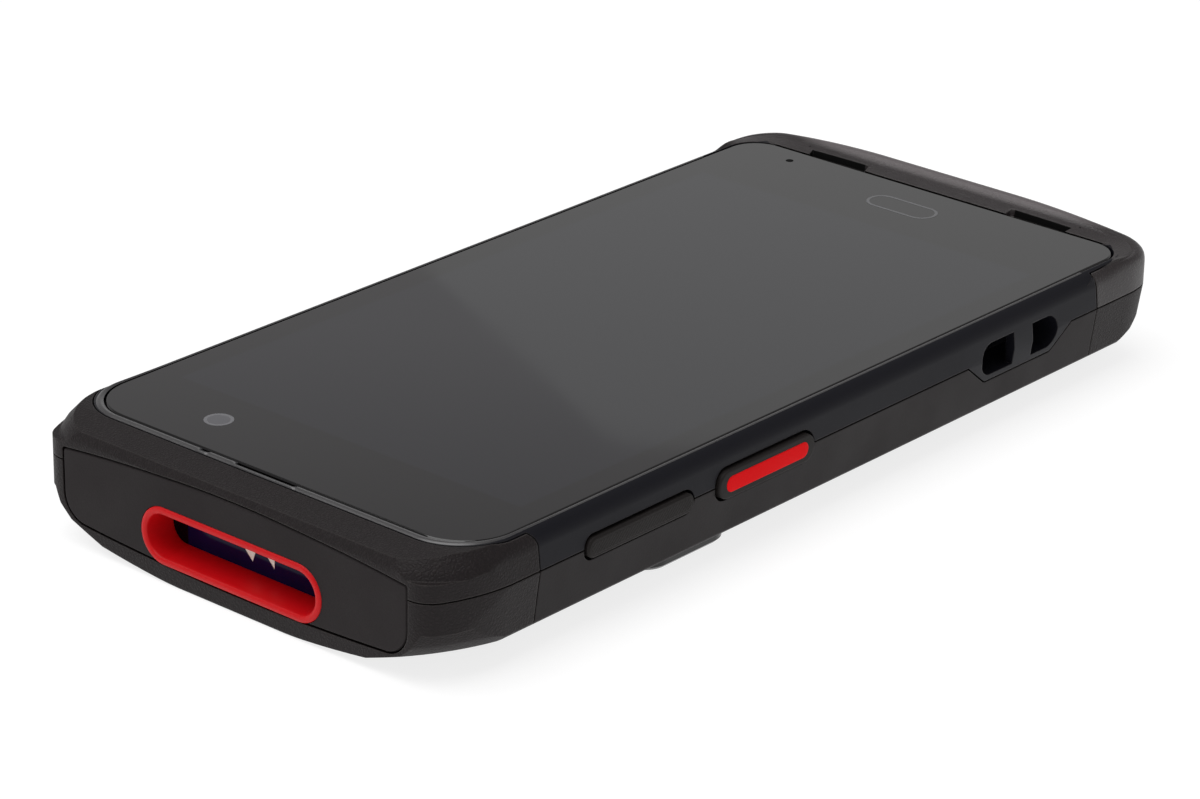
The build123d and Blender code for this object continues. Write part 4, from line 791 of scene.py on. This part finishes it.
MESH_REACH = 3.3                   # it stays this far inside the body's plan
MESH_FLOOR = 15.0                  # and over this height


def under_bumper(points):
    """The frame's own lip sinks under the bumper, to the height of FRAME_LIP."""
    reach, top = FRAME_LIP
    beyond = (points[:, 1] < -reach) & (points[:, 2] > top)
    points[beyond, 2] = top
    return points


def make_base_bumper(materials):
    """Bumper of the base end: a section carried from one side joint round the end to the other.

    Across, the section's points lie between the body's plan and the glass opening's plan, at a
    share of their distance. The side's section eases into the end's as a cubic of the distance
    along the side. The crest falls as a parabola from CREST_HALF off the middle, less so lower
    down. The sound slots are the lower half of the inner slope, sunk."""
    opening_half, opening_end = GLASS_HALF + OPENING_GAP, OPENING_GAP - GLASS_LOW[1]
    outer = end_path(BODY_HALF, BASE_END, BUMPER_CORNER, BUMPER_START)
    inner = end_path(opening_half, opening_end, round_corner(opening_half, OPENING_RADIUS),
                     BUMPER_START)
    inset = np.linspace(END_SLOPE[0][0], END_SLOPE[-1][0], SLOPE_ROWS)
    slope = np.stack([inset, np.interp(inset, *np.transpose(END_SLOPE))], -1)
    at_end = np.concatenate([END_ROLL, slope, END_UNDER])
    at_side = np.concatenate([SIDE_ROLL, np.linspace(*SIDE_SLOPE, SLOPE_ROWS), SIDE_UNDER])
    at_end[:, 0] /= BASE_END - opening_end
    at_side[:, 0] /= BODY_HALF - opening_half
    ease = smooth_step(outer[:, 1], *BUMPER_EASE)[:, None]
    share = at_side[:, 0] + (at_end[:, 0] - at_side[:, 0]) * ease
    level = at_side[:, 1] + (at_end[:, 1] - at_side[:, 1]) * ease
    past = np.clip(np.abs(outer[:, :1]) - CREST_HALF, 0, None) / (BODY_HALF - CREST_HALF)
    foot = np.where(np.arange(len(at_end)) < len(END_ROLL), FALL_FOOT, END_SLOPE[-1][1])
    level = level - CREST_FALL * past ** 2 * ease * np.clip((level - foot) / (CREST - foot), 0, 1)
    row = np.arange(len(at_end)) - len(END_ROLL)
    in_rows = (row > SLOPE_ROWS // 2) & (row <= SLOPE_ROWS)
    in_slot = np.abs(np.abs(outer[:, 0]) - SOUND_SLOT_X) < SOUND_SLOT_HALF
    in_slot &= outer[:, 1] > BASE_END - STRAIGHT
    level = level - SOUND_SLOT_DEPTH * (in_slot[:, None] & in_rows)
    plan = outer[:, None] + (inner - outer)[:, None] * share[..., None]
    points = np.concatenate([plan * (1, -1), level[..., None]], -1)
    mesh = grid_mesh("base_end_bumper", capped(points), wrap_columns=True, angle=40)
    place_piece("base_end_bumper", mesh, "base_end_guard", materials["handled_guard_painted_crest"],
                replaces=True)
    mesh.materials.append(materials["mesh_black"])
    mesh.polygons.foreach_set("material_index", slot_faces(mesh).astype(np.int32))


def slot_faces(mesh):
    """Which faces of the bumper are inside a sound slot: those well under the slope's line."""
    middle = np.array([face.center for face in mesh.polygons]) / MM
    inset = BASE_END + middle[:, 1]
    sunk = np.interp(inset, *np.transpose(END_SLOPE)) - middle[:, 2]
    beside = np.abs(np.abs(middle[:, 0]) - SOUND_SLOT_X)
    inside = (beside < SOUND_SLOT_HALF + MESH_EDGE) & (sunk > MESH_SUNK)
    return inside & (inset > MESH_REACH) & (middle[:, 2] > MESH_FLOOR)


# ---- rear -----------------------------------------------------------------------------------
LENS_COLLAR = 5.2                  # its diameter
LENS_COLLAR_EDGE = ((0.0, 0.05), (0.0, -0.02), (0.8, -0.02), (0.95, 0.05))   # insets and heights
LENS_EYE = 3.0
LENS_EYE_EDGE = ((1.5, 0.05), (0.0, 0.05), (0.0, -0.01), (0.5, -0.035), (1.5, -0.05))
FLASH_RADIUS = 2.2
FLASH_PITCH = 0.44
FLASH_WAVE = 0.04                  # half the height of its rings
FLASH_THICKNESS = 0.6
FLASH_RIM = 0.02                   # its clearance round the edge


def make_rear_optics(materials):
    """Blue lens and its black collar behind the rear cover, and the flash's rings.

    The flash face is a cosine wave of FLASH_PITCH round its middle."""
    lens, flash = middle_mm("rear_camera_lens"), middle_mm("flash_lens")
    face = box_mm("rear_camera_lens")[0][2]
    for name, across, edge, finish in (
            ("rear_lens_collar", LENS_COLLAR, LENS_COLLAR_EDGE, "lens_black"),
            ("rear_lens_eye", LENS_EYE, LENS_EYE_EDGE, "blue_lens")):
        profile = [(inset, face + rise) for inset, rise in edge]
        mesh = stadium_skin(name, across, across, profile, lens[:2], "z",
                            closed=edge is LENS_COLLAR_EDGE)
        place_piece(name, mesh, "rear_camera_lens", materials[finish])
    inset = np.linspace(FLASH_RIM, FLASH_RADIUS, 60)
    wave = np.cos(2 * math.pi * (FLASH_RADIUS - inset) / FLASH_PITCH)
    level = face + FLASH_WAVE * (1 - wave)
    rings = [(FLASH_RADIUS, face + FLASH_THICKNESS), (FLASH_RIM, face + FLASH_THICKNESS),
             *np.stack([inset, level], -1).tolist()]
    mesh = stadium_skin("flash_rings", 2 * FLASH_RADIUS, 2 * FLASH_RADIUS, rings, flash[:2], "z")
    place_piece("flash_rings", mesh, "flash_lens", materials["flash_white"], replaces=True)


# ---- studio, in metres ----------------------------------------------------------------------
FLOOR_HALF = 8.0
FLOOR_DROP = 0.02                  # mm under the resting face
OVERHEAD = (0.3, 0.5, 1.8)
OVERHEAD_SIZE = 1.8
OVERHEAD_RADIANCE = 3.0
CARD_AWAY = 4.0                    # from the middle, opposite the camera
CARD_BEARING = 41.0                # degrees from -Y towards +X
CARD_CORNERS = ((-0.75, 1.0), (-0.209, 1.559), (-0.119, 1.646), (-0.005, 1.759), (0.020, 1.784),
                (0.046, 1.797), (0.08, 1.80), (3.0, 1.80), (3.0, 0.3), (-0.75, 0.3))
WHITE = (1.0, 1.0, 1.0, 1.0)


def stage_piece(name, points, material):
    """One flat face of the studio, which isn't part of the terminal."""
    mesh = bpy.data.meshes.new(name)
    mesh.from_pydata(points, [], [tuple(range(len(points)))])
    mesh.materials.append(material)
    piece = bpy.data.objects.new(name, mesh)
    bpy.context.scene.collection.objects.link(piece)
    return piece


def make_floor():
    """A plain pale floor, lit from below like a light table, a hair under the resting face."""
    material, tree, output = blank("pale_floor")
    shader = add(tree, "ShaderNodeBsdfPrincipled",
                 {"Base Color": linear("8c8c8c"), "Roughness": 0.9, "Specular IOR Level": 0.1,
                  "Emission Color": WHITE, "Emission Strength": 0.80})
    tree.links.new(shader.outputs["BSDF"], output.inputs["Surface"])
    half, level = FLOOR_HALF, -FLOOR_DROP * MM
    stage_piece("floor", [(-half, -half, level), (half, -half, level), (half, half, level),
                          (-half, half, level)], material)


def soft_light(name, place, size, radiance):
    """A square area light at place that faces the middle of the floor.

    Its power is its radiance times pi times its area."""
    data = bpy.data.lights.new(name, "AREA")
    data.shape = "RECTANGLE"
    data.size = data.size_y = size
    data.energy = radiance * math.pi * size * size
    light = bpy.data.objects.new(name, data)
    bpy.context.scene.collection.objects.link(light)
    back = np.array(place) / np.linalg.norm(place)
    side = np.cross((0.0, 0.0, 1.0), back)
    side /= np.linalg.norm(side)
    matrix = np.eye(4)
    matrix[:3] = np.stack([side, np.cross(back, side), back, place], -1)
    light.matrix_world = Matrix(matrix.tolist())


def make_card():
    """A glowing card far behind the terminal, whose edge the glass mirrors.

    It stands upright across the bearing; its corners are (to the right, up)."""
    bearing = math.radians(CARD_BEARING)
    away = np.array([math.sin(bearing), -math.cos(bearing), 0.0])
    right = np.array([-math.cos(bearing), -math.sin(bearing), 0.0])
    corners = np.array(CARD_CORNERS)
    points = away * CARD_AWAY + corners[:, :1] * right + corners[:, 1:] * np.array([0.0, 0.0, 1.0])
    material, tree, output = blank("card_glow")
    place = add(tree, "ShaderNodeTexCoord").outputs["Object"]
    split = add(tree, "ShaderNodeSeparateXYZ", {"Vector": place})
    fade = add(tree, "ShaderNodeMapRange", {"Value": split.outputs["Z"], "From Min": 1.45,
                                            "From Max": 1.80, "To Min": 0.64, "To Max": 0.60})
    glow = add(tree, "ShaderNodeEmission", {"Color": WHITE, "Strength": fade.outputs["Result"]})
    tree.links.new(glow.outputs["Emission"], output.inputs["Surface"])
    card = stage_piece("light_card", points.tolist(), material)
    card.visible_camera = False


def make_dome():
    """A dim sky, brighter near the horizon, that is plain white to the camera alone.

    So a low view has a pale background too."""
    world = bpy.data.worlds.new("studio")
    bpy.context.scene.world = world
    world.use_nodes = True
    tree = world.node_tree
    tree.nodes.clear()
    seen = add(tree, "ShaderNodeLightPath").outputs["Is Camera Ray"]
    way = add(tree, "ShaderNodeTexCoord").outputs["Generated"]
    height = add(tree, "ShaderNodeSeparateXYZ", {"Vector": way}).outputs["Z"]
    fade = add(tree, "ShaderNodeMapRange", {"Value": height, "From Min": 0.38, "From Max": 0.45,
                                            "To Min": 0.52, "To Max": 0.33})
    dome = add(tree, "ShaderNodeBackground", {"Color": (1.0, 0.985, 0.995, 1.0),
                                              "Strength": fade.outputs["Result"]})
    plain = add(tree, "ShaderNodeBackground", {"Color": WHITE, "Strength": 1.0})
    mixed = add(tree, "ShaderNodeMixShader", {"Fac": seen, 1: dome.outputs[0], 2: plain.outputs[0]})
    output = add(tree, "ShaderNodeOutputWorld")
    tree.links.new(mixed.outputs[0], output.inputs["Surface"])


# ---- making ---------------------------------------------------------------------------------
OWN_SHAPE = {"window_ring", "left_scan_key", "right_scan_key", "power_key", "left_key_stripe",
             "right_key_stripe", "flash_lens", "base_end_guard"}   # a new piece stands for each

make_camera()
finishes = shell_materials() | glass_materials() | inner_materials()
for node in NODES:
    NODES[node].data.materials.clear()
    NODES[node].data.materials.append(finishes[SLOTS[node]])
    if node not in OWN_SHAPE:
        joined_skin(node, finishes[SLOTS[node]],
                    reshape=under_bumper if node == "front_frame" else None)
make_bezel_bead(finishes)
make_window_ring(finishes)
make_window_coating(finishes)
make_painted_glints(finishes)
make_screen_marks(finishes)
make_keys(finishes)
make_rocker_grip(finishes)
make_base_bumper(finishes)
make_rear_optics(finishes)
make_floor()
make_card()
make_dome()
soft_light("overhead", OVERHEAD, OVERHEAD_SIZE, OVERHEAD_RADIANCE)
bpy.context.scene.view_settings.view_transform = "Standard"
